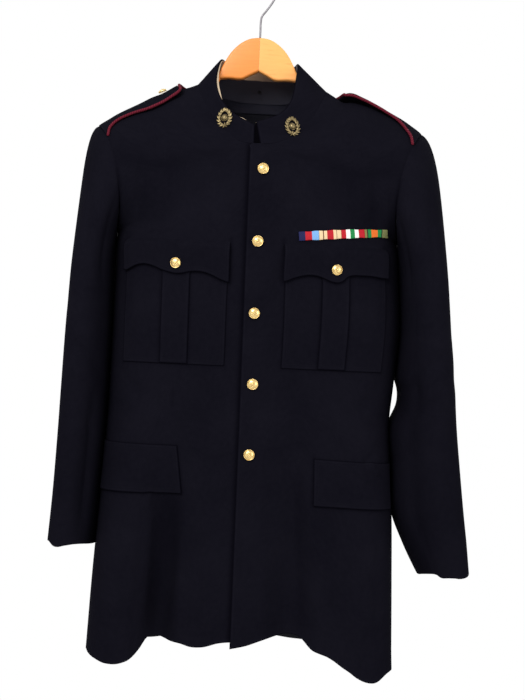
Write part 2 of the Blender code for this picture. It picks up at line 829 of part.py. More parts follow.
def box_pleat(side):
    panel = PANELS[(side, True)]
    inner, middle, outer = pocket_places(side)
    half = (outer - inner) * PLEAT_WIDTH / (POCKET_OUTER - POCKET_INNER) / 2
    name = "box_pleat_" + side_name(side)
    columns = columns_between(panel, middle - half, middle + half)
    patch(name, side, columns, lambda u: POCKET_TOP + 1, lambda u: POCKET_BOTTOM - 1, ON_POCKET,
          POCKET_CLOTH, 5, finish(name, NAVY, 0.8))


def breast_flap(side):
    panel = PANELS[(side, True)]
    inner, middle, outer = pocket_places(side)
    scale = (outer - inner) / (POCKET_OUTER - POCKET_INNER)
    start, end = inner - FLAP_MARGIN * scale, outer + FLAP_MARGIN * scale
    knots = [distance for distance, drop in FLAP_EDGE[side]]
    drops = [drop for distance, drop in FLAP_EDGE[side]]

    def lower_edge(u):
        return float(np.interp((u - middle) / scale, knots, drops))

    def lift(share):
        return ON_PANEL + (ON_PLEAT - ON_PANEL) * ease((1 - share) / 0.12)

    columns = columns_between(panel, start, end)
    arcs = [middle + knot * scale for knot in knots[1:-1]]
    columns = [u for u in columns if min(abs(u - a) for a in arcs) > COLUMN_SPACE] + arcs
    columns = np.array(sorted(set(round(u, 6) for u in columns)))
    grid = []
    for share in FLAP_ROWS:
        line = []
        for u in columns:
            drop = lower_edge(u) + (FLAP_TOP - lower_edge(u)) * share
            line.append(panel.outside(u, panel.level(u, drop), lift(share)))
        grid.append(line)
    name = "breast_flap_" + side_name(side)
    sheet(name, grid, POCKET_CLOTH, finish(name, NAVY, 0.8), flip=side < 0)


def lower_flap(side):
    panel = PANELS[(side, True)]
    (top_run, top), (low_run, low), (outer_run, outer_top), (_, outer_low) = LOWER_FLAP[side]
    inner = panel.place((top_run + low_run) / 2, (top + low) / 2)
    outer = panel.place(outer_run, (outer_top + outer_low) / 2)
    outer = round(outer * FRONT_COLUMNS) / FRONT_COLUMNS
    slant = panel.place(low_run, low) - panel.place(top_run, top)
    name = "lower_flap_" + side_name(side)
    columns = columns_between(panel, inner + abs(slant) / 2, outer)
    grid = []
    for r in range(LOWER_FLAP_ROWS + 1):
        share = r / LOWER_FLAP_ROWS
        start = inner + slant * (0.5 - share)
        line = []
        for u in [start, *columns[1:]]:
            along = (u - start) / (outer - start)
            highest, lowest = top + (outer_top - top) * along, low + (outer_low - low) * along
            drop = lowest + (highest - lowest) * share
            line.append(panel.outside(u, panel.level(u, drop), ON_PANEL + LOWER_FLAP_LIFT))
        grid.append(line)
    sheet(name, grid, LOWER_FLAP_CLOTH, finish(name, NAVY, 0.8), flip=side < 0)


def ribbons():
    panel = PANELS[(1, True)]
    slope = (RIBBON_DROP[1] - RIBBON_DROP[0]) / sum(RIBBON_WIDTHS)
    for index, width in enumerate(RIBBON_WIDTHS):
        start = sum(RIBBON_WIDTHS[:index])
        ends = [panel.place(RIBBON_START + run, RIBBON_DROP[0])
                for run in (start + SEAM_GAP / 2, start + width - SEAM_GAP / 2)]
        columns = (ends[0], (ends[0] + ends[1]) / 2, ends[1])
        middle = {u: RIBBON_DROP[0] + slope * (start + share * width)
                  for u, share in zip(columns, (0, 0.5, 1))}
        name = f"ribbon_{index + 1}"
        patch(name, 1, columns, lambda u: middle[u] - RIBBON_HEIGHT / 2,
              lambda u: middle[u] + RIBBON_HEIGHT / 2, ON_PANEL, RIBBON_CLOTH, 1,
              finish(name, RIBBON_COLOURS[index], 0.6))


# ---------------------------------------------------------------- buttons and badges

def turned(name, profile, material):
    """A closed solid turned from a profile of (radius, height), top to bottom."""
    mesh = bpy.data.meshes.new(name)
    edges = [(i, i + 1) for i in range(len(profile) - 1)]
    mesh.from_pydata([(r * MM, 0, h * MM) for r, h in profile], edges, [])
    made = bpy.data.objects.new(name, mesh)
    TUNIC.objects.link(made)
    lathe = made.modifiers.new("lathe", "SCREW")
    lathe.axis = "Z"
    lathe.steps = TURNED_STEPS
    lathe.render_steps = TURNED_STEPS
    lathe.use_merge_vertices = True
    lathe.merge_threshold = 0.00001
    lathe.use_smooth_shade = True
    mesh.materials.append(material)
    return made


def set_on(made, spot, out):
    """Places a solid with its underside at a spot and its Z axis along a normal."""
    turn = Vector(out).to_track_quat("Z", "Y").to_matrix().to_4x4()
    made.matrix_world = Matrix.Translation(Vector([float(c) * MM for c in spot])) @ turn


def button_profile(radius, height):
    rim = radius * 0.90
    return ((0, height), (radius * 0.42, height * 0.94), (radius * 0.72, height * 0.66),
            (rim, height * 0.56), (radius, height * 0.40), (rim, height * 0.18),
            (radius * 0.38, 0), (0, 0))


def button(name, radius, height, spot, out):
    made = turned(name, button_profile(radius, height), finish(name, GILT, 0.25, 1.0))
    set_on(made, spot, out)


def front_buttons():
    panel = PANELS[(1, True)]
    for index, (run, drop) in enumerate(FRONT_BUTTONS):
        u = panel.place(run, drop)
        v = panel.level(u, drop)
        button(f"front_button_{index + 1}", BUTTON_RADIUS, BUTTON_HEIGHT,
               panel.outside(u, v, WALL + SEAM_GAP), panel.normal(u, v))


def pocket_buttons():
    for side in (-1, 1):
        panel = PANELS[(side, True)]
        u = pocket_places(side)[1]
        v = panel.level(u, POCKET_BUTTON_DROP)
        button("pocket_button_" + side_name(side), POCKET_BUTTON_RADIUS, BUTTON_HEIGHT,
               panel.outside(u, v, ON_PLEAT + POCKET_CLOTH + SEAM_GAP), panel.normal(u, v))


def collar_badges():
    """A domed boss on a plate with a leafy, scalloped edge."""
    pairs = collar_columns()
    for side in (-1, 1):
        name = "collar_badge_" + side_name(side)
        half = pairs[:len(pairs) // 2 + 1] if side < 0 else pairs[len(pairs) // 2:][::-1]
        lower, upper = half[BADGE_COLUMN], half[BADGE_COLUMN + 1]
        share = BADGE_SHARE[side]
        bottom = lower[0] + (upper[0] - lower[0]) * share
        top = lower[1] + (upper[1] - lower[1]) * share
        across = (upper[0] + upper[1] - lower[0] - lower[1])
        out = np.cross(across, top - bottom) * side
        out /= np.linalg.norm(out)
        spot = bottom + (top - bottom) * BADGE_RISE[side] + out * (COLLAR_CLOTH + BADGE_GAP)
        plate = bpy.data.curves.new(name, "CURVE")
        plate.dimensions = "2D"
        plate.fill_mode = "BOTH"
        plate.extrude = BADGE_PLATE / 2 * MM
        leaf = plate.splines.new("POLY")
        count = 2 * BADGE_LOBES
        leaf.points.add(count - 1)
        for i in range(count):
            turn = 2 * math.pi * i / count
            reach = BADGE_RADIUS * (1.0 if i % 2 == 0 else BADGE_VALLEY) * MM
            wide, tall = BADGE_SHAPE
            leaf.points[i].co = (wide * reach * math.cos(turn), tall * reach * math.sin(turn), 0, 1)
        leaf.use_cyclic_u = True
        outline = bpy.data.objects.new(name + "_outline", plate)
        GUIDES.objects.link(outline)
        flat = bpy.data.meshes.new_from_object(outline.evaluated_get(bpy.context.evaluated_depsgraph_get()))
        work = bmesh.new()
        work.from_mesh(flat)
        bmesh.ops.remove_doubles(work, verts=work.verts, dist=0.00001)
        bmesh.ops.translate(work, verts=work.verts, vec=(0, 0, BADGE_PLATE / 2 * MM))
        work.to_mesh(flat)
        work.free()
        bpy.data.objects.remove(outline, do_unlink=True)
        flat.materials.append(finish(name, ANTIQUE_BRASS, 0.4, 1.0))
        made = bpy.data.objects.new(name, flat)
        TUNIC.objects.link(made)
        boss = turned(name + "_boss", BOSS, flat.materials[0])
        GUIDES.objects.link(boss)
        TUNIC.objects.unlink(boss)
        boss.hide_render = True
        boss.display_type = "WIRE"
        upward = (top - bottom) / np.linalg.norm(top - bottom)
        side_way = np.cross(upward, out)
        turn = Matrix([list(side_way), list(upward), list(out)]).transposed().to_4x4()
        made.matrix_world = Matrix.Translation(Vector([float(c) * MM for c in spot])) @ turn
        boss.matrix_world = made.matrix_world
        joined = made.modifiers.new("boss", "BOOLEAN")
        joined.operation = "UNION"
        joined.object = boss


# ---------------------------------------------------------------- shoulder straps

def strap_line(side, along, lift):
    """Points across a strap, from its front edge over the shoulder seam to its back edge."""
    inner = STRAP_INNER[side]
    u = inner + (STRAP_OUTER - inner) * along
    spread_front, spread_back = reading(STRAP_SPREAD[side], along)
    front, back = PANELS[(side, True)], PANELS[(side, False)]
    shares = np.linspace(0, 1, STRAP_STEPS + 1)[1:]
    seam_normal = front.normal(u, 1.0) + back.normal(u, 1.0)
    seam_normal /= np.linalg.norm(seam_normal)
    seam = (front.point(u, 1.0) + back.point(u, 1.0)) / 2 + seam_normal * lift
    ahead = [front.outside(u, 1 - spread_front * share, lift) for share in shares]
    behind = [back.outside(u, 1 - spread_back * share, lift) for share in shares]
    return ahead[::-1] + [seam] + behind


def strap_grid(side, height=0.0):
    columns = []
    for along in np.linspace(0, 1, STRAP_COLUMNS + 1):
        bow = reading(STRAP_BOW, along)[0 if side < 0 else 1]
        columns.append(strap_line(side, along, WALL + LAY_GAP + bow + height))
    return [list(row) for row in zip(*columns)]


def shoulder_strap(side):
    grid = strap_grid(side)
    name = "shoulder_strap_" + side_name(side)
    sheet(name, grid, STRAP_CLOTH, finish(name, NAVY, 0.8), flip=side < 0)
    middle = strap_grid(side, STRAP_CLOTH / 2)
    rim = middle[0][::-1] + [row[0] for row in middle[1:-1]] + middle[-1]
    corners = (len(middle[0]) - 1, len(rim) - len(middle[-1]))
    centre = np.array([p for row in middle for p in row]).mean(axis=0)
    cord = bpy.data.curves.new("strap_piping", "CURVE")
    cord.dimensions = "3D"
    cord.bevel_depth = PIPING_RADIUS * MM
    cord.bevel_resolution = 1
    cord.use_fill_caps = True
    line = cord.splines.new("POLY")
    line.points.add(len(rim) - 1)
    for index, spot in enumerate(rim):
        before, after = rim[max(index - 1, 0)], rim[min(index + 1, len(rim) - 1)]
        way = after - before
        out = np.array([way[1], -way[0], 0.0])
        out /= np.linalg.norm(out)
        if np.dot(out, spot - centre) < 0:
            out = -out
        reach = (PIPING_RADIUS + PIPING_GAP) * (CORNER_REACH if index in corners else 1.0)
        shifted = spot + out * reach
        line.points[index].co = (*(float(c) * MM for c in shifted), 1)
    name = "strap_piping_" + side_name(side)
    cord.materials.append(finish(name, PIPING_RED, 0.6))
    TUNIC.objects.link(bpy.data.objects.new(name, cord))
    seam_row, place = STRAP_STEPS, STRAP_BUTTON_COLUMN
    spot = grid[seam_row][place]
    across = grid[seam_row][place + 1] - grid[seam_row][place - 1]
    along = grid[seam_row + 1][place] - grid[seam_row - 1][place]
    out = np.cross(across, along)
    out = out / np.linalg.norm(out) * (1 if out[2] > 0 else -1)
    button("strap_button_" + side_name(side), STRAP_BUTTON_RADIUS, STRAP_BUTTON_HEIGHT,
           spot + out * (STRAP_CLOTH + LAY_GAP), out)


# ---------------------------------------------------------------- hanger

def shoulder_seam_drop(side, across):
    seam = PANELS[(side, True)].row(1.0)
    return -float(np.interp(across, seam[:, 0], seam[:, 2]))


def hanger_arm(side):
    top = list(HANGER_TOP)
    for across in np.linspace(HANGER_SEAM_START, HANGER_REACH, HANGER_SEAM_POINTS):
        top.append((across, shoulder_seam_drop(side, across + HANGER_SHIFT * side) + HANGER_CLEARANCE))
    tip = top[-1]
    round_end = [(tip[0] + across, tip[1] + drop) for across, drop in HANGER_TIP]
    outline = top + round_end + list(HANGER_UNDER)
    gap = SEAM_GAP / 2
    name = "hanger_arm_" + side_name(side)
    shape = bpy.data.curves.new(name, "CURVE")
    shape.dimensions = "2D"
    shape.fill_mode = "BOTH"
    shape.extrude = (HANGER_THICKNESS / 2 - HANGER_EDGE) * MM
    shape.bevel_depth = HANGER_EDGE * MM
    shape.bevel_resolution = 1
    shape.offset = -HANGER_EDGE * MM
    line = shape.splines.new("POLY")
    line.points.add(len(outline) - 1)
    for index, (across, drop) in enumerate(outline):
        line.points[index].co = (side * max(across, gap) * MM, -drop * MM, 0, 1)
    line.use_cyclic_u = True
    shape.materials.append(finish(name, WOOD_WARM if side < 0 else WOOD_PALE, 0.35))
    made = bpy.data.objects.new(name, shape)
    made.rotation_euler = (math.pi / 2, 0, 0)
    made.location = (HANGER_SHIFT * MM, 0, 0)
    TUNIC.objects.link(made)


def hook():
    """A straight stem from the head, leaning into a round crook."""
    route = list(STEM)
    for step in range(CROOK_STEPS + 1):
        turn = math.radians(CROOK_START + (CROOK_END - CROOK_START) * step / CROOK_STEPS)
        route.append((CROOK_RADIUS * math.cos(turn), CROOK_DROP - CROOK_RADIUS * math.sin(turn)))
    wire = bpy.data.curves.new("hanger_hook", "CURVE")
    wire.dimensions = "3D"
    wire.bevel_depth = WIRE_RADIUS * MM
    wire.bevel_resolution = 2
    wire.use_fill_caps = True
    line = wire.splines.new("POLY")
    line.points.add(len(route) - 1)
    for index, (across, drop) in enumerate(route):
        line.points[index].co = (across * MM, 0, -drop * MM, 1)
    wire.materials.append(finish("hanger_hook", STEEL, 0.3, 1.0))
    TUNIC.objects.link(bpy.data.objects.new("hanger_hook", wire))


# ---------------------------------------------------------------- the tunic

for side in (-1, 1):
    body_panel(side, True)
    body_panel(side, False)
    sleeve_piece(side, True)
    sleeve_piece(side, False)
    breast_pocket(side)
    box_pleat(side)
    breast_flap(side)
    lower_flap(side)
    shoulder_strap(side)
    hanger_arm(side)
collar()
collar_lining()
back_neck_facing()
ribbons()
front_buttons()
pocket_buttons()
collar_badges()
hook()
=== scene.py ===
# %% [markdown]
# # A navy dress tunic on its wooden hanger
# This lesson builds a long military dress tunic as it hangs: a wooden hanger with a wire hook,
# navy wool cut in the tailor's own pieces, gilt buttons, piped shoulder straps, a ribbon bar
# and two small collar badges. The solid model is already there as a fixed frame, in metres,
# with +Z up, the front facing -Y and +X towards the wearer's left. The origin is the inside
# top of the hook's crook. Every piece below stands where its solid stands.

import json
import math

import bpy
import numpy as np
from mathutils import Matrix, Vector

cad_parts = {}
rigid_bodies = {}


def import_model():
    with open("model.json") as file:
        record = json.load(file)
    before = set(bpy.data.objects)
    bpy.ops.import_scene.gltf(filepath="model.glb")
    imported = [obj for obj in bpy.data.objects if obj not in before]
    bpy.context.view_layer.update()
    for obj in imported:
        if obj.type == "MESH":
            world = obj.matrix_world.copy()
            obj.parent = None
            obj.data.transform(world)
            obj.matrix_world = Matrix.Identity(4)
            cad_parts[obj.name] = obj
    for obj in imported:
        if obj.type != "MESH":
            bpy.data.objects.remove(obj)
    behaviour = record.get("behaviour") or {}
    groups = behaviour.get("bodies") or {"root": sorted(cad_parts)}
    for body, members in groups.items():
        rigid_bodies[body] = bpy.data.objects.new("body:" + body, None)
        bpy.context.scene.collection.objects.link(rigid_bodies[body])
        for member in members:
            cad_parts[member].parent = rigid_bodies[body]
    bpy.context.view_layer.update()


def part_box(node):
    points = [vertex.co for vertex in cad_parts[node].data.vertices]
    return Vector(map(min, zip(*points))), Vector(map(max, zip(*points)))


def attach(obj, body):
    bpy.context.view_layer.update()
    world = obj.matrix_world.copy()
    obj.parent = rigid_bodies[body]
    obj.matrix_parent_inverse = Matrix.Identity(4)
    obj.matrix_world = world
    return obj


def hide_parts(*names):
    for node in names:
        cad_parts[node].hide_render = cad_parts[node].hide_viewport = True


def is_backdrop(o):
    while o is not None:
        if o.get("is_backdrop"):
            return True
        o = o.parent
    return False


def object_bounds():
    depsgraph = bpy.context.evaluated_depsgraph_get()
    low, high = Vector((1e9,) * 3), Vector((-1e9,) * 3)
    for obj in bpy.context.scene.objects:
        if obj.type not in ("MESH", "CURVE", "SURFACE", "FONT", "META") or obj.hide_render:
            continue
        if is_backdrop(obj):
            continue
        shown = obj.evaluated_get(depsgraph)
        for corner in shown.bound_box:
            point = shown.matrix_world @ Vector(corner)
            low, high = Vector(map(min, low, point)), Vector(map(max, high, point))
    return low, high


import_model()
MM = 0.001

# %% [markdown]
# ## The camera
# A tunic this long is seen whole from a little under two metres. The camera stands straight
# in front at the height of the waist, and is turned by a few degrees about its own axis, so
# that the tunic leans a little in the frame. The lens is a plain 39 mm one: a longer lens
# would flatten the straps against the shoulders, and a shorter one would swell the chest.

# %% Camera
EYE = Vector((0.0185, -1.680, -0.565))
LEAN = math.radians(2.6)
lens = bpy.data.cameras.new("camera")
lens.sensor_fit = "VERTICAL"
lens.sensor_height = 24
lens.lens = 38.79
lens.clip_end = 50
camera = bpy.data.objects.new("camera", lens)
bpy.context.scene.collection.objects.link(camera)
camera.matrix_world = (Matrix.Translation(EYE) @ Matrix.Rotation(math.pi / 2, 4, "X")
                       @ Matrix.Rotation(LEAN, 4, "Z"))
bpy.context.scene.camera = camera
print("camera at", tuple(camera.location), "with a", round(lens.lens, 1), "mm lens")

# %% [markdown]
# ## Studio light
# Dark wool swallows light, so a tunic is lit by large soft lights all round, as in a white
# tent. The world is plain white, and three broad area lights give the cloth its gentle
# slopes of tone: a large one up on the left, a smaller one on the right, and one behind that
# draws a thin light line along the shoulders. The floor is a pale sheet well below the hem.

# %% Lights and floor
scene = bpy.context.scene
scene.view_settings.view_transform = "Standard"
world = bpy.data.worlds.new("white tent")
scene.world = world
world.use_nodes = True
world.node_tree.nodes["Background"].inputs["Color"].default_value = (1, 1, 1, 1)
world.node_tree.nodes["Background"].inputs["Strength"].default_value = 1.0

# name, where it stands, what it faces, width, height, watts
LIGHTS = (
    ("key light", (-1.0, -2.0, 0.9), (0, 0, -0.5), 1.5, 1.5, 60),
    ("fill light", (1.9, -1.3, -0.2), (0, 0, -0.6), 1.2, 1.6, 16),
    ("rim light", (0.6, 1.7, 0.8), (0, 0, -0.4), 1.6, 0.8, 10),
)
for name, place, aim, width, height, watts in LIGHTS:
    lamp = bpy.data.lights.new(name, "AREA")
    lamp.shape = "RECTANGLE"
    lamp.size, lamp.size_y, lamp.energy = width, height, watts
    stand = bpy.data.objects.new(name, lamp)
    scene.collection.objects.link(stand)
    stand.location = place
    stand.rotation_euler = (Vector(aim) - Vector(place)).to_track_quat("-Z", "Y").to_euler()


def rest_selection():
    """Leaves nothing selected, so that the next operator acts only on what it is given."""
    if bpy.context.mode != "OBJECT":
        bpy.ops.object.mode_set(mode="OBJECT")
    bpy.ops.object.select_all(action="DESELECT")


def pick(piece):
    """Leaves this piece alone selected, and active."""
    rest_selection()
    piece.select_set(True)
    bpy.context.view_layer.objects.active = piece


rest_selection()
bpy.ops.mesh.primitive_plane_add(size=1.0, location=(0, 0, -1.30))
floor = bpy.context.object
floor.name = "floor"
pale = bpy.data.materials.new("pale floor")
pale.use_nodes = True
pale.node_tree.nodes["Principled BSDF"].inputs["Base Color"].default_value = (0.82, 0.82, 0.81, 1)
pale.node_tree.nodes["Principled BSDF"].inputs["Roughness"].default_value = 0.8
floor.data.materials.append(pale)
floor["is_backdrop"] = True
print(len(LIGHTS), "lights and a floor")

# %% [markdown]
# ## A short way to write materials
# A finish here is always the same thing: one Principled shader whose colour and bump come
# from a few pattern nodes. `Finish` keeps that short. It makes the material, adds nodes by
# name, and joins an output to an input, so that each finish below reads like a recipe.

# %% Finish, a helper for node materials
class Finish:
    def __init__(self, name, roughness=0.7, metallic=0.0, **sockets):
        self.material = bpy.data.materials.new(name)
        self.material.use_nodes = True
        self.tree = self.material.node_tree
        self.shader = self.tree.nodes["Principled BSDF"]
        self.shader.inputs["Roughness"].default_value = roughness
        self.shader.inputs["Metallic"].default_value = metallic
        for socket, value in sockets.items():
            self.shader.inputs[socket.replace("_", " ")].default_value = value

    def node(self, kind, inputs=None, **settings):
        made = self.tree.nodes.new("ShaderNode" + kind)
        for key, value in settings.items():
            setattr(made, key, value)
        for key, value in (inputs or {}).items():
            if hasattr(value, "node"):
                self.tree.links.new(value, made.inputs[key])
            else:
                made.inputs[key].default_value = value
        return made

    def join(self, output, socket):
        self.tree.links.new(output, self.shader.inputs[socket])

    def sums(self, operation, first, second=0.0, third=0.0):
        return self.node("Math", {0: first, 1: second, 2: third}, operation=operation).outputs[0]

    def between(self, value, low, high, out_low=0.0, out_high=1.0):
        """Reads a value from low to high as out_low to out_high, and holds it at the ends."""
        made = self.node("MapRange", {0: value, 1: low, 2: high, 3: out_low, 4: out_high})
        return made.outputs[0]

    def mixed(self, share, first, second):
        made = self.node("Mix", data_type="RGBA")
        for slot, value in ((0, share), (6, first), (7, second)):
            if hasattr(value, "node"):
                self.tree.links.new(value, made.inputs[slot])
            else:
                made.inputs[slot].default_value = value if slot == 0 else (*value, 1)
        return made.outputs[2]

    def place(self, uv=None):
        """Where a pattern is read: a cloth's own flat map in metres, or the object itself."""
        if uv:
            return self.node("UVMap", uv_map=uv).outputs[0]
        return self.node("TexCoord").outputs["Object"]

    def noise(self, where, scale, detail=2.0, rough=0.5, stretch=None):
        if stretch:
            where = self.node("Mapping", {"Vector": where, "Scale": stretch}).outputs[0]
        made = self.node("TexNoise", {"Vector": where, "Scale": scale, "Detail": detail,
                                      "Roughness": rough})
        return made.outputs[0]

    def bump(self, height, distance, strength=1.0, under=None):
        inputs = {"Height": height, "Distance": distance, "Strength": strength}
        if under is not None:
            inputs["Normal"] = under
        return self.node("Bump", inputs).outputs[0]


# %% [markdown]
# ## Navy wool
# Dress tunics are cut in a fine, close twill of navy wool, so dark that it is almost black.
# Three things make it read as wool: two near tones that wander over the cloth, a fine
# diagonal rib with a short nap over it, and hardly any gloss. The patterns read the cloth's
# own flat map, which is in metres, so the rib is the same size on every piece. An attribute
# named edge, the distance to the piece's turned edge in millimetres, paints shade on the edge
# where it rolls under, sets a paler, uneven band a little further in, and lays a row of small
# stitches inside it. Another, named shade, is written last, and paints shade on the cloth
# along what is sewn over it.

# %% Navy wool
NAVY_DEEP = (0.0033, 0.0031, 0.0054)
NAVY_SOFT = (0.0048, 0.0045, 0.0074)
NAVY_PALE = (0.0066, 0.0063, 0.0099)
NAVY_SHADE = (0.0014, 0.0012, 0.0026)
THREAD = (0.0057, 0.0055, 0.0085)


def navy_wool(name, stitches=()):
    """Stitches are the distances from the edge, in millimetres, of the rows of stitches."""
    cloth = Finish(name, roughness=0.95, Specular_IOR_Level=0.006)
    flat = cloth.place("cloth")
    drift = cloth.noise(flat, 9.0, 3.0, 0.55)
    mottle = cloth.noise(flat, 140.0, 4.0, 0.6)
    share = cloth.between(cloth.sums("MULTIPLY_ADD", mottle, 0.5, drift), 0.55, 0.95)
    colour = cloth.mixed(share, NAVY_DEEP, NAVY_SOFT)
    edge = cloth.node("Attribute", attribute_name="edge").outputs["Fac"]
    # A paler band, uneven along its length, lies 1.4 to 4.6 mm inside a turned edge.
    inside = cloth.sums("MULTIPLY", cloth.between(edge, 1.4, 2.4), cloth.between(edge, 4.6, 3.0))
    band_unevenness = cloth.between(cloth.noise(flat, 40.0), 0.35, 0.6, 0.0, 0.3)
    pressed = cloth.sums("MULTIPLY", inside, band_unevenness)
    colour = cloth.mixed(pressed, colour, NAVY_PALE)
    # Painted shade: within 2 mm of a turned edge, and wherever the shade attribute is high, the colour
    # goes to NAVY_SHADE.
    rolled_edge_shade = cloth.between(edge, 0.4, 2.0, 0.75, 0.0)
    shade = cloth.node("Attribute", attribute_name="shade").outputs["Fac"]
    colour = cloth.mixed(cloth.sums("MAXIMUM", rolled_edge_shade, shade), colour, NAVY_SHADE)
    nap = cloth.noise(flat, 1500.0, 3.0, 0.7, (1.0, 0.45, 1.0))
    slant = (0, 0, math.radians(63))
    turned = cloth.node("Mapping", {"Vector": flat, "Rotation": slant}).outputs[0]
    rib = cloth.node("TexWave", {"Vector": turned, "Scale": 190.0, "Distortion": 0.8}).outputs[1]
    surface = cloth.bump(cloth.sums("MULTIPLY_ADD", rib, 0.35, nap), 0.00010, 0.8)
    if stitches:
        x, y, _ = cloth.node("SeparateXYZ", {0: flat}).outputs
        along = cloth.sums("FRACT", cloth.sums("MULTIPLY", cloth.sums("ADD", x, y), 300.0))
        from_middle = cloth.sums("ABSOLUTE", cloth.sums("SUBTRACT", along, 0.5))
        dash = cloth.between(from_middle, 0.28, 0.36, 1, 0)
        row = None
        for reach in stitches:
            off = cloth.sums("ABSOLUTE", cloth.sums("SUBTRACT", edge, reach))
            line = cloth.between(off, 0.25, 0.75, 1.0, 0.0)
            row = line if row is None else cloth.sums("MAXIMUM", row, line)
        thread = cloth.sums("MULTIPLY", row, dash)
        colour = cloth.mixed(cloth.sums("MULTIPLY", thread, 0.45), colour, THREAD)
        dent = cloth.sums("SUBTRACT", thread, row)
        surface = cloth.bump(dent, 0.00035, 0.5, surface)
    cloth.join(colour, "Base Color")
    cloth.join(surface, "Normal")
    return cloth.material


PLAIN_WOOL = navy_wool("navy wool")
STITCHED_WOOL = navy_wool("navy wool, edge stitched", (5.0,))
TWICE_STITCHED_WOOL = navy_wool("navy wool, twice stitched", (1.6, 6.5))
print("wool finishes:", PLAIN_WOOL.name, "/", STITCHED_WOOL.name, "/", TWICE_STITCHED_WOOL.name)

# %% [markdown]
# ## Lining cloth
# Inside, the tunic is lined in a smooth charcoal cloth, made darker over the body as painted
# shade, and the stand of the collar is faced in tan. Both are plain weaves, finer and flatter
# than the wool, with a little more gloss.
# The collar's facing is tan along its top and towards the front, with painted shade darkening
# the tan from the back round to the left, and charcoal lower down at the back, so that finish
# mixes the two by the height and the place round the neck that its flat map gives.

# %% Lining finishes
CHARCOAL = (0.0164, 0.0162, 0.0259)
TAN = (0.46, 0.36, 0.25)


def weave(cloth, flat, thread=1 / 0.0007):
    x, y, _ = cloth.node("SeparateXYZ", {0: flat}).outputs
    over = cloth.sums("SINE", cloth.sums("MULTIPLY", x, thread * 2 * math.pi))
    under = cloth.sums("SINE", cloth.sums("MULTIPLY", y, thread * 2 * math.pi))
    return cloth.sums("MULTIPLY", over, under)


def lining(name, deep, light, gloss=0.08, sheen=0.02):
    cloth = Finish(name, roughness=0.6, Specular_IOR_Level=gloss, Sheen_Weight=sheen)
    flat = cloth.place("cloth")
    tone = cloth.mixed(cloth.noise(flat, 45.0, 3.0), deep, light)
    cloth.join(tone, "Base Color")
    cloth.join(cloth.bump(weave(cloth, flat), 0.00004, 0.7), "Normal")
    return cloth.material


def collar_facing(name, reach, top, hole):
    """Tan, with painted shade from the back round to the left, and charcoal at the back below a
    line, with a worked stud hole whose opening is painted near black as shade. Reach, top and
    the hole's place are metres on the flat map, from the middle of the back and the lower edge."""
    cloth = Finish(name, roughness=0.6, Specular_IOR_Level=0.1, Sheen_Weight=0.03)
    flat = cloth.place("cloth")
    x, y, _ = cloth.node("SeparateXYZ", {0: flat}).outputs
    wander = cloth.between(cloth.noise(flat, 30.0), 0, 1, -0.002, 0.002)
    back = cloth.between(cloth.sums("ABSOLUTE", x), reach - 0.003, reach + 0.003, 1.0, 0.0)
    low = cloth.between(cloth.sums("ADD", y, wander), top - 0.0006, top + 0.0006, 1.0, 0.0)
    tan = cloth.mixed(cloth.noise(flat, 90.0, 4.0), [c * 0.75 for c in TAN], TAN)
    # Painted shade: from the back round to the left the tan goes towards a dark charcoal.
    tan_in_painted_shade = cloth.sums("MULTIPLY", cloth.between(x, -0.045, 0.03, 0.0, 0.92),
                        cloth.between(x, 0.20, 0.23, 1.0, 0.0))
    tan = cloth.mixed(tan_in_painted_shade, tan, [c * 1.6 for c in CHARCOAL])
    dark = cloth.mixed(cloth.noise(flat, 45.0), [c * 0.75 for c in CHARCOAL], CHARCOAL)
    colour = cloth.mixed(cloth.sums("MULTIPLY", back, low), tan, dark)
    off = cloth.node("VectorMath", {0: flat, 1: (*hole, 0)}, operation="SUBTRACT").outputs[0]
    far = cloth.node("VectorMath", {0: off}, operation="LENGTH").outputs[1]
    # The hole's opening is painted near black, as the shade inside it.
    hole_shade = cloth.between(far, 0.0014, 0.0020, 1.0, 0.0)
    worked = cloth.sums("MULTIPLY", cloth.between(far, 0.0018, 0.0022),
                        cloth.between(far, 0.0031, 0.0036, 1, 0))
    colour = cloth.mixed(cloth.sums("MULTIPLY", worked, 0.5), colour, [c * 0.45 for c in CHARCOAL])
    cloth.join(cloth.mixed(hole_shade, colour, (0.001, 0.001, 0.0012)), "Base Color")
    surface = cloth.bump(weave(cloth, flat), 0.00005, 0.7)
    cloth.join(cloth.bump(cloth.sums("SUBTRACT", worked, hole_shade), 0.0006, 1.0, surface), "Normal")
    return cloth.material


# Near black, darker than the wool: painted shade for the gap between the collar's ends.
SHADE_TAPE = lining("tab tape painted near black as shade", (0.0008, 0.0007, 0.0012), (0.0016, 0.0014, 0.0022), 0.0, 0.0)
# The body's lining is a darker copy of the charcoal: painted shade for the inside of the body.
SHADED_BODY_LINING = lining("charcoal lining", [c * 0.3 for c in CHARCOAL], [c * 0.45 for c in CHARCOAL])
NECK_LINING = lining("neck facing", [c * 0.8 for c in CHARCOAL], CHARCOAL)
print("lining finishes:", SHADE_TAPE.name, "/", SHADED_BODY_LINING.name, "/", NECK_LINING.name)

# %% [markdown]
# ## Metal, wood and cord
# The buttons are bright gilt: a yellow metal, darker where polish never reaches, which the
# relief itself shows once the reflections are soft. The badges are the same brass left to
# darken, bright only on the high spots. The hanger is varnished beech, one arm orange and
# one yellower, with grain that runs along it. The hook is plated wire gone dull, and the
# piping is a red cord with a slanting twist, whose grooves are painted darker as shade.

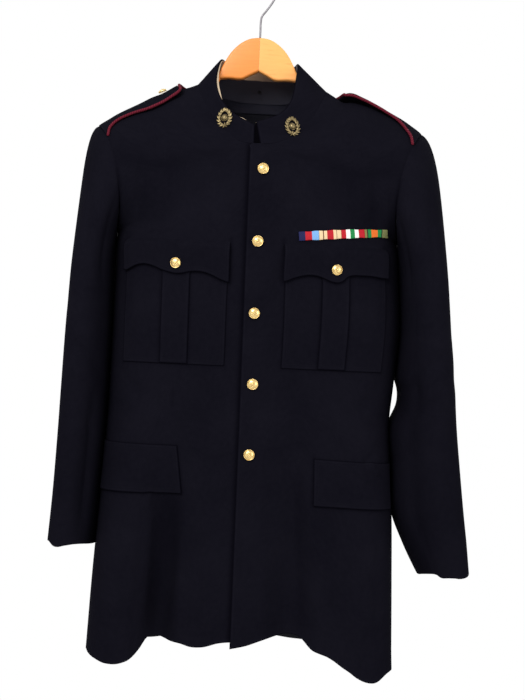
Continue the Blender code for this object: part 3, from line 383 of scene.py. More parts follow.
# %% Metal finishes
def metal(name, bright, dull, roughness, hollow, pits=900.0):
    """Hollow is how much of the dull tone settles, by the Pointiness of the relief."""
    brass = Finish(name, roughness=roughness, metallic=1.0)
    where = brass.place()
    high = brass.node("NewGeometry").outputs["Pointiness"]
    settled = brass.between(high, 0.44, 0.54, 1.0, 0.0)
    patch = brass.between(brass.noise(where, 260.0, 3.0), 0.35, 0.65)
    share = brass.sums("MULTIPLY_ADD", patch, hollow * 0.4, brass.sums("MULTIPLY", settled, hollow))
    brass.join(brass.mixed(share, bright, dull), "Base Color")
    gloss = brass.between(brass.noise(where, 500.0), 0.3, 0.7, roughness * 0.8, roughness * 1.35)
    brass.join(gloss, "Roughness")
    brass.join(brass.bump(brass.noise(where, pits, 2.0), 0.00008, 0.5), "Normal")
    return brass.material


GILT = metal("bright gilt", (0.90, 0.68, 0.30), (0.36, 0.20, 0.05), 0.22, 0.75)
OLD_BRASS = metal("darkened brass", (0.26, 0.20, 0.10), (0.030, 0.024, 0.012), 0.38, 0.95)
WIRE = metal("dulled steel wire", (0.19, 0.18, 0.19), (0.08, 0.075, 0.08), 0.4, 0.5, 2500.0)


# %% Varnished wood
def varnished(name, early, late, streak):
    """Grain that runs along X, as the arms do, under a clear coat, and one small dark nick."""
    wood = Finish(name, roughness=0.45, Specular_IOR_Level=0.25, Coat_Weight=0.2,
                  Coat_Roughness=0.25)
    where = wood.place()
    bent = wood.noise(where, 14.0, 2.0, 0.5, (0.35, 1.0, 1.0))
    long = wood.node("Mapping", {"Vector": where, "Scale": (1.6, 22.0, 22.0)}).outputs[0]
    lines = wood.node("TexNoise", {"Vector": long, "Scale": 16.0, "Detail": 4.0,
                                   "Roughness": 0.6, "Distortion": 0.6}).outputs[0]
    rings = wood.between(wood.sums("MULTIPLY_ADD", bent, 0.35, lines), 0.5, 0.95)
    tone = wood.mixed(rings, early, late)
    pores = wood.between(wood.noise(where, 420.0, 2.0, 0.5, (0.08, 1.0, 1.0)), 0.62, 0.72)
    tone = wood.mixed(wood.sums("MULTIPLY", pores, 0.35), tone, streak)
    off = wood.node("Mapping", {"Vector": where, "Location": (0.0095, 0, 0.1385),
                                "Scale": (1.0, 0.0, 1.6)}).outputs[0]
    far = wood.node("VectorMath", {0: off}, operation="LENGTH").outputs[1]
    ragged = wood.sums("MULTIPLY_ADD", wood.noise(where, 900.0), 0.0012, far)
    nick = wood.between(ragged, 0.0014, 0.0026, 0.8, 0)
    wood.join(wood.mixed(nick, tone, [c * 0.3 for c in streak]), "Base Color")
    wood.join(wood.bump(lines, 0.00012, 0.5), "Normal")
    return wood.material


WARM_WOOD = varnished("warm varnished beech", (0.67, 0.22, 0.042), (0.61, 0.19, 0.035),
                      (0.40, 0.13, 0.03))
PALE_WOOD = varnished("pale varnished beech", (0.78, 0.335, 0.093), (0.73, 0.305, 0.080),
                      (0.50, 0.20, 0.05))


# %% Red cord
def red_cord(name):
    """The cord's flat map runs round it in x and along it in y, both in metres."""
    cord = Finish(name, roughness=0.8, Specular_IOR_Level=0.05)
    x, y, _ = cord.node("SeparateXYZ", {0: cord.place("cloth")}).outputs
    slant = cord.sums("ADD", cord.sums("MULTIPLY", x, 240.0), cord.sums("MULTIPLY", y, 420.0))
    twist = cord.sums("SINE", cord.sums("MULTIPLY", slant, 2 * math.pi / 1.6))
    rise = cord.between(twist, -1.0, 1.0)
    fluff = cord.noise(cord.place("cloth"), 1800.0, 2.0)
    # The twist's grooves are painted darker, as shade, over a random fluff.
    tone = cord.sums("MULTIPLY_ADD", fluff, 0.4, cord.sums("MULTIPLY", rise, 0.7))
    cord.join(cord.mixed(tone, (0.045, 0.0022, 0.006), (0.122, 0.012, 0.024)), "Base Color")
    cord.join(cord.bump(rise, 0.0004, 0.8), "Normal")
    return cord.material


RED_CORD = red_cord("red piping cord")
print("metal, wood and cord:", GILT.name, "/", OLD_BRASS.name, "/", WIRE.name, "/", RED_CORD.name)

# %% [markdown]
# ## The tailor's pattern
# Cloth is easiest to shape from its lines, as a tailor does: the centre front, the neckline,
# the side seam, the armhole. Each line is a short table, and `through` reads a smooth curve
# from it. Lengths in these tables are millimetres, and "drop" is the distance below the hook.

# %% Reading a curve from a table
def through(rows, at):
    """A smooth curve read from a table whose first column is the place along it."""
    table = np.array(rows, dtype=float)
    keys, values = table[:, 0], table[:, 1:]
    slopes = np.gradient(values, keys, axis=0)
    at = np.clip(np.atleast_1d(at).astype(float), keys[0], keys[-1])
    k = np.clip(np.searchsorted(keys, at, side="right") - 1, 0, len(keys) - 2)
    span = (keys[k + 1] - keys[k])[:, None]
    t = ((at - keys[k]) / span[:, 0])[:, None]
    start, end = values[k], values[k + 1]
    out = (2 * t**3 - 3 * t**2 + 1) * start + (3 * t**2 - 2 * t**3) * end
    out += (t**3 - 2 * t**2 + t) * span * slopes[k] + (t**3 - t**2) * span * slopes[k + 1]
    return out


def ease(value):
    value = np.clip(value, 0.0, 1.0)
    return value * value * (3 - 2 * value)


def unit(vectors):
    return vectors / np.maximum(np.linalg.norm(vectors, axis=-1, keepdims=True), 1e-9)


def side_name(side):
    return "left" if side > 0 else "right"


def lengths(line):
    """The distance along a line of points to each of its points."""
    return np.concatenate([[0], np.cumsum(np.linalg.norm(np.diff(line, axis=0), axis=1))])


def spread_along(line, share):
    """Points at these shares of a line's whole length."""
    run = lengths(line)
    return np.stack([np.interp(share * run[-1], run, line[:, i]) for i in range(3)], axis=1)


# %% The body's lines
WALL = 2.0
SEAM_GAP = -0.12
UNDERARM = 0.66
LAP_END = 0.2
NECK_FRONT = UNDERARM + (1 - UNDERARM) * 4 / 9
NECK_BACK = UNDERARM + (1 - UNDERARM) * 6 / 9

# at, depth, drop
CENTRE_FRONT = ((0.00, -84, 988), (0.20, -80, 846), (0.40, -75, 703), (0.56, -75, 589),
                (0.68, -80, 503), (0.81, -86, 411), (0.92, -83, 332), (1.00, -80, 275))
CENTRE_BACK = ((0.00, 82, 1008), (0.20, 76, 844), (0.40, 68, 680), (0.52, 65, 581),
               (0.66, 78, 466), (0.82, 85, 335), (0.92, 74, 252), (1.00, 51, 187))

# The wearer's left front laps over the right: how far past the centre, at the neck and the hem
LAP_EDGE = {1: (12.5, 9.0), -1: (20.0, 20.0)}
LAP_RISE = WALL + 0.8
LAP_FADE = (24.0, 70.0)

# at, across, depth, drop, from the centre to the neck point
FRONT_NECKLINE = ((0.00, 0, -80.0, 275.0), (0.20, 24, -78.5, 271.5), (0.40, 46, -70.5, 257.0),
                  (0.60, 67, -54.5, 234.0), (0.80, 84, -31.0, 204.5), (1.00, 93.5, -0.03, 178.5))
BACK_NECKLINE = ((0.00, 0.03, 51.0, 187.0), (0.33, 34, 47.0, 186.5), (0.67, 70, 30.0, 182.5),
                 (1.00, 93.5, 0.03, 178.5))
# The wearer's left of the front neckline hangs lower: how much, and between which places
NECK_SAG = (7.0, 0.2, 0.88)

# at, wearer's right across, wearer's left across, drop
SIDE_SEAM = ((0.00, 221, 228, 1020), (0.20, 216, 223, 897), (0.37, 210, 218, 792),
             (0.49, 206, 212, 718), (0.58, 204, 208.5, 662), (0.66, 203, 212, 613),
             (0.80, 202, 217.5, 527), (1.00, 201, 208, 404))

# at, across, front depth, front drop, back across, back depth, back drop
ARMHOLE = ((0.00, 201, -0.15, 404, 201, 0.15, 404), (0.15, 198, -30, 393, 199, 28, 391),
           (0.33, 195, -56, 360, 198, 52, 356), (0.55, 200, -65, 315, 203, 60, 311),
           (0.78, 217, -50, 267, 219, 46, 264), (0.90, 230, -26, 249, 231, 24, 246),
           (1.00, 239, -0.03, 237, 239, 0.03, 237))
ARMHOLE_SPREAD = 7.0
# How much lower the wearer's right shoulder hangs at its tip
SHOULDER_FALL = 9.5
# How much lower than a straight line the shoulder seam runs, from the neck to its tip: at,
# wearer's right, wearer's left. It tells on the cloth from this share of its height upwards.
SHOULDER_START = 0.88
SHOULDER_LINE = ((0.00, -1.5, 0.0), (0.08, -2.4, 2.0), (0.20, -5.0, 4.5), (0.28, -5.6, -1.0),
                 (0.38, -6.0, -4.5), (0.50, -5.7, -6.0), (0.65, -4.7, -5.5), (0.80, -3.5, -4.2),
                 (0.92, -1.0, -2.0), (1.00, 0.0, 0.0))

# How each row leaves its inner and its outer edge: at, turn in degrees and reach at the inner
# edge, turn and reach at the outer one
FRONT_ROWS = ((0.00, 0, 150, 90, 74), (0.33, 0, 150, 90, 68), (0.60, 0, 150, 90, 70),
              (0.66, 0, 150, 90, 66), (0.70, 0, 135, 66, 44), (0.76, 0, 110, 36, 44),
              (0.82, 0, 80, 25, 50), (0.86, 9, 64, 25, 50), (0.90, 22, 50, 26, 50),
              (0.96, 16, 46, 14, 46), (1.00, 0, 46, 0, 46))
BACK_ROWS = ((0.00, 0, 140, 90, 72), (0.33, 0, 130, 90, 60), (0.60, 0, 140, 90, 68),
             (0.66, 0, 140, 90, 62), (0.70, 0, 125, 64, 42), (0.76, 1, 100, 34, 44),
             (0.84, 4, 80, 24, 46), (0.92, 14, 52, 20, 46), (1.00, 0, 46, 0, 46))

# How far the hem hangs below the straight line from its centre to the side seam: at, right
# front, left front
FRONT_HEM = ((0.00, -11, 0), (0.08, -11, -7), (0.16, -10, -17), (0.24, -5, -23),
             (0.30, -6, -26), (0.36, -12, -24), (0.42, -13, -10), (0.46, -14, -7),
             (0.50, -16, -4), (0.53, -17, 0), (0.555, -14, 4), (0.58, -2, 8), (0.61, 9, 12),
             (0.65, 14, 19), (0.72, 13, 21), (0.78, 6, 8), (0.84, 0, 5), (0.90, -3, 8), (1.00, 0, 0))
HEM_REACH = 0.40

# The skirt's deepest folds: side, front or not, middle, half width, how far out, top
FOLDS = ((-1, True, 0.50, 0.15, -34, 0.46), (-1, True, 0.76, 0.18, 12, 0.40),
         (1, True, 0.30, 0.17, -22, 0.40), (1, True, 0.74, 0.20, 22, 0.44),
         (-1, False, 0.52, 0.20, -18, 0.46), (1, False, 0.56, 0.22, -14, 0.40),
         (1, False, 0.18, 0.15, 9, 0.38))
print("armholes", round((SIDE_SEAM[-1][1] + SIDE_SEAM[-1][2]) / 10), "cm apart at the underarm")

# %% [markdown]
# ## Creases, placed one by one
# Good wool hangs smoothly, so its creases are soft: shallow troughs and low ridges, each a
# different length and depth. Each line of this table is one of them. It runs from a place to
# a place on the cloth, bows sideways a little on the way, and fades in and out at its ends.
# Below the shoulders the cloth drops, at the waist it gathers, and over the skirt it falls in
# long folds. The back has similar ones of its own.

# %% The creases of the body
# front or not, across, drop, across, drop, bow, half width, how far out
CREASES = (
    (True, -150, 262, -166, 395, 6, 9, -2.6),
    (True, -172, 300, -181, 372, 3, 6, 1.6),
    (True, -128, 236, -152, 300, 5, 10, -1.4),
    (True, 156, 270, 172, 400, -6, 10, -2.6),
    (True, 178, 318, 186, 396, -3, 7, 1.5),
    (True, 120, 240, 150, 312, -6, 10, -1.3),
    (True, -60, 300, -24, 392, 5, 12, -1.5),
    (True, 66, 300, 30, 372, -4, 10, -1.2),
    (True, -118, 632, -124, 668, 2, 6, -2.2),
    (True, -30, 560, -80, 640, -6, 12, -1.3),
    (True, -190, 588, -140, 640, 6, 9, -1.5),
    (True, -178, 640, -110, 676, 5, 10, 1.2),
    (True, 192, 600, 140, 660, -6, 10, -1.6),
    (True, 188, 706, 168, 724, 2, 5, -1.7),
    (True, 60, 560, 110, 655, 7, 12, -1.1),
    (True, 34, 430, 44, 520, 3, 9, -1.0),
    (True, -36, 424, -40, 530, -3, 8, -1.0),
    (True, -108, 778, -112, 985, -5, 17, -6.5),
    (True, -134, 772, -142, 985, -4, 7, 2.6),
    (True, -134, 775, -136, 800, 1, 4, 1.6),
    (True, -76, 800, -84, 980, 4, 10, 1.8),
    (True, -186, 800, -196, 1000, -3, 13, 1.8),
    (True, -60, 850, -52, 990, 5, 13, -1.6),
    (True, 34, 740, 62, 980, 8, 14, -1.8),
    (True, 70, 745, 88, 930, 5, 9, -2.2),
    (True, 178, 722, 192, 736, 2, 5, 2.0),
    (True, -106, 630, -107, 650, 1, 3, -1.0),
    (True, 96, 800, 112, 1000, 6, 16, -2.8),
    (True, 150, 812, 172, 1010, 8, 15, 2.0),
    (True, 196, 800, 206, 1000, 3, 9, -1.6),
    (False, 0, 240, 8, 420, 4, 16, -1.6),
    (False, -96, 260, -128, 400, -10, 13, -2.6),
    (False, 88, 268, 124, 410, 9, 14, -2.3),
    (False, -152, 300, -170, 410, -5, 9, 1.8),
    (False, 158, 292, 172, 396, 4, 8, 1.6),
    (False, -60, 236, 48, 250, 5, 8, 1.2),
    (False, -130, 560, -40, 600, 8, 11, -2.0),
    (False, 138, 548, 52, 606, 9, 11, -1.8),
    (False, -110, 612, -24, 632, 5, 8, 1.3),
    (False, 120, 618, 30, 640, 5, 9, 1.2),
    (False, -70, 660, -92, 990, -9, 20, -4.0),
    (False, 62, 690, 84, 1000, 8, 18, -3.4),
    (False, -150, 700, -168, 990, -6, 16, 2.4),
    (False, 140, 720, 160, 990, 6, 15, 2.0),
    (False, 12, 720, 16, 1000, 3, 11, 1.5),
)


def furrow(x, z, way, half, bow, past):
    """One crease's height, from 0 to 1, at places x and z from its start. It runs a little
    past both ends, by this share of its length, and fades there."""
    length = math.hypot(*way)
    run = (x * way[0] + z * way[1]) / length**2
    off = (z * way[0] - x * way[1]) / length - bow * 4 * run * (1 - run)
    fade = ease((run + past) / 0.4) * ease((1 + past - run) / 0.4)
    return fade * np.exp(-((off / half) ** 2))


def creased(front, across, drop):
    """How far out of its plain form the cloth stands, in millimetres."""
    out = np.zeros_like(across)
    for on_front, x0, z0, x1, z1, bow, half, reach in CREASES:
        if on_front == front:
            way = (x1 - x0, z1 - z0)
            out += reach * furrow(across - x0, drop - z0, way, half, bow, 0.12)
    return out


print(len(CREASES), "creases on the body")

# %% [markdown]
# ## The body's cloth
# One class holds a front or a back as a close lattice of points and outward normals. Every
# row runs from the centre edge to the side seam or armhole as one smooth arc. After that the
# lap, the skirt's folds, the hem's waves and the creases are added. What lies on the tunic
# later asks the lattice for its place: `at` gives a point a little off the cloth, `level`
# the row that is a given distance down, and `place` the column a given distance round.

# %% A front or a back as a lattice
class Cloth:
    ROWS, COLUMNS = 421, 181
    # how far from its side edges the cloth stays uncreased, in millimetres
    QUIET = 14.0

    def __init__(self, side, front):
        self.side, self.front = side, front
        self.u = np.linspace(0, 1, self.COLUMNS)
        self.v = np.linspace(0, 1, self.ROWS)
        lines = self.plain_rows(self.inner_edge(self.v), self.outer_edge(self.v))
        lines = self.shaped(lines)
        lines[:, :, 0] *= side
        self.points = lines
        self.normals = self.facing(lines)
        rise = creased(front, lines[:, :, 0], -lines[:, :, 2])
        quiet = ease(self.from_edges(lines) / self.QUIET)
        self.points = lines + self.normals * (rise * quiet)[:, :, None]
        self.normals = self.facing(self.points)

    def inner_edge(self, v):
        neck = NECK_FRONT if self.front else NECK_BACK
        low, high = np.minimum(v / neck, 1), np.clip((v - neck) / (1 - neck), 0, 1)
        depth, drop = through(CENTRE_FRONT if self.front else CENTRE_BACK, low).T
        line = through(FRONT_NECKLINE if self.front else BACK_NECKLINE, high)
        if self.front:
            at_neck, at_hem = LAP_EDGE[self.side]
            across = -(at_hem + (at_neck - at_hem) * low)
            line[:, 0] -= at_neck * np.maximum(0, 1 - high / LAP_END)
            if self.side > 0:
                sag, start, end = NECK_SAG
                share = np.clip((high - start) / (end - start), 0, 1)
                line[:, 2] += sag * np.sin(math.pi * share) ** 2
        else:
            across = np.full_like(v, SEAM_GAP / 2)
        below = np.stack([across, depth, drop], axis=1)
        return np.where((v <= neck)[:, None], below, line) * (1, 1, -1)

    def outer_edge(self, v):
        right, left, drop = through(SIDE_SEAM, v / UNDERARM).T
        depth = np.full_like(v, -SEAM_GAP / 2 if self.front else SEAM_GAP / 2)
        below = np.stack([left if self.side > 0 else right, depth, -drop], axis=1)
        above = armhole(self.side, (v - UNDERARM) / (1 - UNDERARM), self.front)
        return np.where((v > UNDERARM)[:, None], above, below)

    def plain_rows(self, inner, outer):
        table = FRONT_ROWS if self.front else BACK_ROWS
        face = -1 if self.front else 1
        turn_in, reach_in, turn_out, reach_out = through(table, self.v).T
        reach_in = np.minimum(reach_in, 0.7 * np.abs(outer[:, 0] - inner[:, 0]))
        t = np.linspace(0, 1, 400)[:, None]
        share = np.linspace(0, 1, self.COLUMNS)
        lines = []
        for row in range(self.ROWS):
            a, b = math.radians(turn_in[row]), math.radians(turn_out[row])
            first = inner[row] + reach_in[row] * np.array([math.cos(a), face * math.sin(a), 0])
            last = outer[row] + reach_out[row] * np.array([-math.cos(b), face * math.sin(b), 0])
            line = ((1 - t) ** 3 * inner[row] + 3 * t * (1 - t) ** 2 * first
                    + 3 * t**2 * (1 - t) * last + t**3 * outer[row])
            line[:, 2] = (inner[row, 2] + (outer[row, 2] - inner[row, 2]) * t)[:, 0]
            lines.append(spread_along(line, share))
        return np.array(lines)

    def shaped(self, lines):
        """Adds the lap, the folds and the hem's waves."""
        v = self.v[:, None]
        tangent = np.gradient(lines, axis=1)
        level = np.zeros(lines.shape[:2])
        out = unit(np.stack([tangent[..., 1], -tangent[..., 0], level], axis=-1))
        out = out if self.front else -out
        move = np.zeros(lines.shape[:2])
        for side, front, middle, half, reach, top in FOLDS:
            if (side, front) == (self.side, self.front):
                near = np.clip(np.abs(self.u - middle) / half, 0, 1)
                move += reach * np.cos(near * math.pi / 2) ** 2 * np.maximum(1 - v / top, 0) ** 1.3
        lines = lines + out * move[:, :, None]
        if self.front and self.side > 0:
            fade = (LAP_FADE[1] - lines[:, :, 0]) / (LAP_FADE[1] - LAP_FADE[0])
            lines[:, :, 1] -= LAP_RISE * ease(fade)
        own = 1 if self.side > 0 else 0
        if self.front:
            extra = through(FRONT_HEM, self.u)[:, own]
            lines[:, :, 2] -= extra * np.maximum(1 - v / HEM_REACH, 0) ** 1.6
        lines[:, :, 2] -= through(SHOULDER_LINE, self.u)[:, own] * ease(
            (v - SHOULDER_START) / (1 - SHOULDER_START))
        return lines

    def facing(self, lines):
        across, upward = np.gradient(lines, axis=1), np.gradient(lines, axis=0)
        return unit(np.cross(across, upward)) * (self.side if self.front else -self.side)

    @staticmethod
    def from_edges(lines):
        """Distance along the cloth to the nearest side edge."""
        run = np.linalg.norm(np.diff(lines, axis=1), axis=2)
        run = np.concatenate([np.zeros((len(lines), 1)), np.cumsum(run, axis=1)], axis=1)
        return np.minimum(run, run[:, -1:] - run)

    def read(self, grid, u, v):
        x = np.clip(u, 0, 1) * (self.COLUMNS - 1)
        y = np.clip(v, 0, 1) * (self.ROWS - 1)
        i, j = np.minimum(x.astype(int), self.COLUMNS - 2), np.minimum(y.astype(int), self.ROWS - 2)
        fx, fy = (x - i)[..., None], (y - j)[..., None]
        low = grid[j, i] * (1 - fx) + grid[j, i + 1] * fx
        high = grid[j + 1, i] * (1 - fx) + grid[j + 1, i + 1] * fx
        return low * (1 - fy) + high * fy

    def at(self, u, v, lift=0.0):
        """Places this far outside the cloth's inner face, and the normals there."""
        u, v = np.broadcast_arrays(np.asarray(u, float), np.asarray(v, float))
        normals = unit(self.read(self.normals, u, v))
        return self.read(self.points, u, v) + normals * np.asarray(lift)[..., None], normals

    def level(self, u, drop):
        """The v at which the cloth is this far down, found by halving, for arrays of u and drop."""
        u, drop = np.broadcast_arrays(np.asarray(u, float), np.asarray(drop, float))
        low, high = np.zeros(u.shape), np.ones(u.shape)
        for _ in range(22):
            middle = (low + high) / 2
            below = self.read(self.points, u, middle)[..., 2] < -drop
            low, high = np.where(below, middle, low), np.where(below, high, middle)
        return (low + high) / 2

    def columns(self, across, drop):
        """The u's at which the cloth lies this far from the tunic's middle and this far down."""
        low, high = np.zeros(across.shape), np.ones(across.shape)
        for _ in range(16):
            middle = (low + high) / 2
            nearer = self.at(middle, self.level(middle, drop))[0][..., 0] * self.side < across
            low, high = np.where(nearer, middle, low), np.where(nearer, high, middle)
        return (low + high) / 2

    def place(self, run, drop):
        """The u at which the cloth is this far from the centre line, measured round it."""
        line, _ = self.at(self.u, self.level(self.u, np.full(self.COLUMNS, float(drop))))
        return np.interp(run, lengths(line) + line[0, 0] * self.side, self.u)


def armhole(side, at, front):
    """The armhole's line from the underarm (0) to the shoulder's tip (1)."""
    rows = through(ARMHOLE, at)
    spot = rows[:, :3] if front else rows[:, 3:]
    at = np.clip(at, 0, 1)
    spot[:, 0] += ARMHOLE_SPREAD * (1 - at) * (side > 0)
    spot[:, 2] += SHOULDER_FALL * at**4 * (side < 0)
    return spot * (1, 1, -1)


BODY = {(side, front): Cloth(side, front) for side in (-1, 1) for front in (True, False)}
print("body lattices of", Cloth.ROWS, "by", Cloth.COLUMNS, "points")

# %% [markdown]
# ## From a grid of points to a piece of cloth
# A sewn piece is a thin shell with a soft, turned-in edge. It could be one sheet with a
# Solidify modifier, but then every edge is as sharp as cut card. Here the shell is made in
# code from its own grid: an outer face, an inner face, and a rim between them, with both faces
# drawn together over the last millimetre or two wherever the edge is turned and pressed. Where
# it is sewn to its neighbour they run straight into the seam.

# %% Cloth pieces
CUTS = {}
# At a turned edge the outer face sinks by this share of the thickness, and the inner face
# rises by this share of that. A plump piece is at full height this far inside its edge.
EDGE_SINK, EDGE_LIFT, PLUMP_REACH = 0.42, 0.7, 9.0


def spaced(length, step, close=(0.0, 0.3, 0.8, 1.5, 2.4)):
    """Shares of a length, evenly spaced but close together near both ends."""
    near = np.array(close) / length
    count = max(2, round((length - 2 * close[-1]) / step))
    inside = np.linspace(near[-1], 1 - near[-1], count + 1)
    return np.concatenate([near[:-1], inside, (1 - near[:-1])[::-1]])


def runs(grid, axis):
    """Distances along a grid's rows or columns, in millimetres."""
    steps = np.linalg.norm(np.diff(grid, axis=axis), axis=2)
    start = np.zeros((len(grid), 1) if axis == 1 else (1, grid.shape[1]))
    return np.concatenate([start, np.cumsum(steps, axis=axis)], axis=axis)


def grid_area(grid):
    a, b = grid[1:, 1:] - grid[:-1, :-1], grid[1:, :-1] - grid[:-1, 1:]
    return np.linalg.norm(np.cross(a, b), axis=2).sum() / 2


def into_object(name, vertices, faces, finishes, slots=None):
    """A mesh piece in the scene from points in millimetres."""
    mesh = bpy.data.meshes.new(name)
    mesh.from_pydata((np.asarray(vertices) * MM).tolist(), [], [list(map(int, f)) for f in faces])
    for finish in finishes:
        mesh.materials.append(finish)
    if slots is not None:
        mesh.polygons.foreach_set("material_index", np.asarray(slots, dtype=np.int32))
    mesh.shade_smooth()
    piece = bpy.data.objects.new(name, mesh)
    scene.collection.objects.link(piece)
    return piece


def declare(piece, node):
    """Puts a piece on the one body, and hides its solid if it has one."""
    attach(piece, "root")
    if node:
        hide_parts(node)


def flat_map(piece, places):
    """Lays a UV map from one (x, y) in metres for each vertex."""
    layer = piece.data.uv_layers.new(name="cloth")
    corners = np.empty(len(piece.data.loops), dtype=np.int32)
    piece.data.loops.foreach_get("vertex_index", corners)
    layer.data.foreach_set("uv", np.asarray(places, dtype=np.float32)[corners].ravel())


def write_mark(piece, name, values):
    """Gives a piece an attribute with one number for each vertex."""
    mark = piece.data.attributes.new(name, "FLOAT", "POINT")
    mark.data.foreach_set("value", values.astype(np.float32))


def cloth_piece(name, inner, outward, thickness, finishes, node, slot, held="hung", rests_on=(),
                roll=1.7, origin=0.0, plump=0.0, free="first last bottom top", sewn=0.0):
    """inner is a grid of points on the cloth's inner face, and outward its normals.
    Roll is how far from the edge the faces draw together, plump a soft rise inside it, and
    free names the edges that are turned and stitched: first and last column, bottom and top row.
    Sewn is a distance added to the first column's edge where that part of it is sewn down."""
    rows, columns = inner.shape[:2]
    across, up = runs(inner, 1), runs(inner, 0)
    sides = {"first": across + sewn, "last": across[:, -1:] - across,
             "bottom": up, "top": up[-1:] - up}
    turned = np.minimum.reduce([sides[each] for each in free.split()])
    near = np.clip(1 - turned / roll, 0, 1)
    sink = thickness * EDGE_SINK * (1 - np.sqrt(np.maximum(1 - near**2, 0)))
    rise = plump * ease(turned / PLUMP_REACH)
    outer = inner + outward * (thickness - sink + rise)[..., None]
    under = inner + outward * sink[..., None] * EDGE_LIFT
    index = np.arange(rows * columns).reshape(rows, columns)
    quads = np.stack([index[:-1, :-1], index[:-1, 1:], index[1:, 1:], index[1:, :-1]], -1)
    quads = quads.reshape(-1, 4)
    border = np.concatenate([index[0, :-1], index[:-1, -1], index[-1, :0:-1], index[:0:-1, 0]])
    after = np.roll(border, -1)
    deep = rows * columns
    rim = np.stack([after, border, border + deep, after + deep], -1)
    turn = np.cross(inner[1:, :-1] - inner[:-1, :-1], inner[:-1, 1:] - inner[:-1, :-1])
    if (turn * outward[:-1, :-1]).sum() > 0:
        quads, rim = quads[:, ::-1], rim[:, ::-1]
    faces = np.concatenate([quads, quads[:, ::-1] + deep, rim])
    slots = np.concatenate([np.zeros(len(quads)), np.ones(len(quads)), np.zeros(len(rim))])
    points = np.concatenate([outer.reshape(-1, 3), under.reshape(-1, 3)])
    piece = into_object(name, points, faces, finishes, slots)
    middle = across[:, -1:] * 0.5 if origin == "middle" else origin
    places = np.stack([across - middle, up], axis=-1).reshape(-1, 2) * MM
    flat_map(piece, np.concatenate([places, places]))
    write_mark(piece, "edge", np.tile(turned.ravel(), 2))
    width, length = across[:, -1].max() * MM, up[-1].max() * MM
    area = grid_area(inner) * MM**2
    declare(piece, node)
    CUTS[name] = (round(width * 100, 1), round(length * 100, 1), round(area * 1e4))
    return piece


def triangles(pieces):
    return sum(len(f.vertices) - 2 for piece in pieces for f in piece.data.polygons)


# %% [markdown]
# ## Fronts and backs
# The two fronts and the two backs are cut in wool and lined in charcoal, and each is one
# sheet. Its grid is a little closer than the cloth's smallest crease.

# %% Body pieces
WOOL_OVER_LINING = (PLAIN_WOOL, SHADED_BODY_LINING)
# Above the neckline the front's first edge is sewn to the collar, so it counts as this far
# from a turned edge. The change takes this share of the height.
NECK_SEWN, NECK_BLEND = 20.0, 0.008


def body_piece(side, front):
    cloth = BODY[(side, front)]
    u, v = spaced(300, 2.9), spaced(720, 3.3)
    inner, outward = cloth.at(u[None, :], v[:, None])
    name = ("front_" if front else "back_") + side_name(side)
    neckline = NECK_SEWN * ease((v[:, None] - NECK_FRONT) / NECK_BLEND + 0.5)
    return cloth_piece("cloth_" + name, inner, outward, WALL, WOOL_OVER_LINING, name, "navy_wool",
                       rests_on=["hanger_arm_" + side_name(side)], sewn=neckline,
                       free="first bottom" if front else "bottom")


body = [body_piece(side, front) for side in (-1, 1) for front in (True, False)]
print("fronts and backs:", triangles(body), "triangles")

# %% [markdown]
# ## Sleeves
# A coat sleeve is cut in two pieces. The top sleeve goes over the outside of the arm and the
# under sleeve lies towards the body. An empty sleeve hangs flat and a little bent forward.
# Rings of a table give its shape below the armhole, and a smooth cap joins the first ring to
# the armhole's own line. Its creases bend round it at the elbow, where an arm once did.

# %% The sleeves' shape
# drop, inner across, outer across, half depth, middle depth, how far its outside turns forward
SLEEVE_RINGS = {
    -1: ((470, 206.5, 264.5, 80, -2, 6), (549, 206.7, 268, 76, -3, 8), (626, 207.6, 270, 72, -5, 10),
         (700, 209.7, 271.7, 66, -8, 12), (785, 214.0, 275.5, 60, -9, 11),
         (853, 217.5, 280.5, 54, -8, 10)),
    1: ((470, 218.0, 285, 80, -2, 6), (532, 221.8, 291.2, 75, -3, 8), (574, 219.2, 296.2, 72, -4, 9),
        (598, 218.8, 298.2, 70, -4, 9), (613, 223.5, 300, 69, -5, 10), (636, 223.5, 302, 66, -6, 10),
        (662, 213.2, 304.5, 64, -7, 10), (724, 216.8, 312.3, 58, -7, 10),
        (790, 222.3, 321.5, 53, -7, 10), (830, 241.4, 327.5, 51, -7, 10),
        (873, 265.5, 332.8, 50, -7, 10)),
}
# Where the seams run round the sleeve, before and behind its outside
SLEEVE_SEAM = 6 / 18
# The cuff's edge below the last ring, round it from the outside over the front, by side
CUFF_EDGE = {
    -1: ((0.0, 4.5), (0.05, 2.4), (0.10, 0.8), (0.17, 6.2), (0.20, 6.2), (0.24, 3.9), (0.28, 2.4),
         (0.32, 2.6), (0.5, 7.9), (0.75, 5.0), (1.0, 4.5)),
    1: ((0.0, 3.7), (0.06, 5.4), (0.10, 6.5), (0.14, 7.1), (0.19, 7.2), (0.21, 6.6), (0.24, 6.7),
        (0.285, 7.4), (0.31, 4.4), (0.33, 3.9), (0.37, 5.3), (0.42, 8.1), (0.5, 13.3), (0.75, 9.0),
        (1.0, 3.7)),
}
# How square the sleeve's rounds are: 2 would be an oval
SLEEVE_SQUARENESS = 2.3
# How the cloth leaves the armhole at its top, at its front and back edges and at the underarm
LEAVES_TOP = {-1: (66, 0, -17), 1: (94, 0, -38)}
LEAVES_EDGE, LEAVES_BOTTOM = (44, 32, -89), (3, 0, -50)
UNDERARM_CLEARANCE = WALL * 2 + 1.0
ARMHOLE_CLEARANCE = 0.0

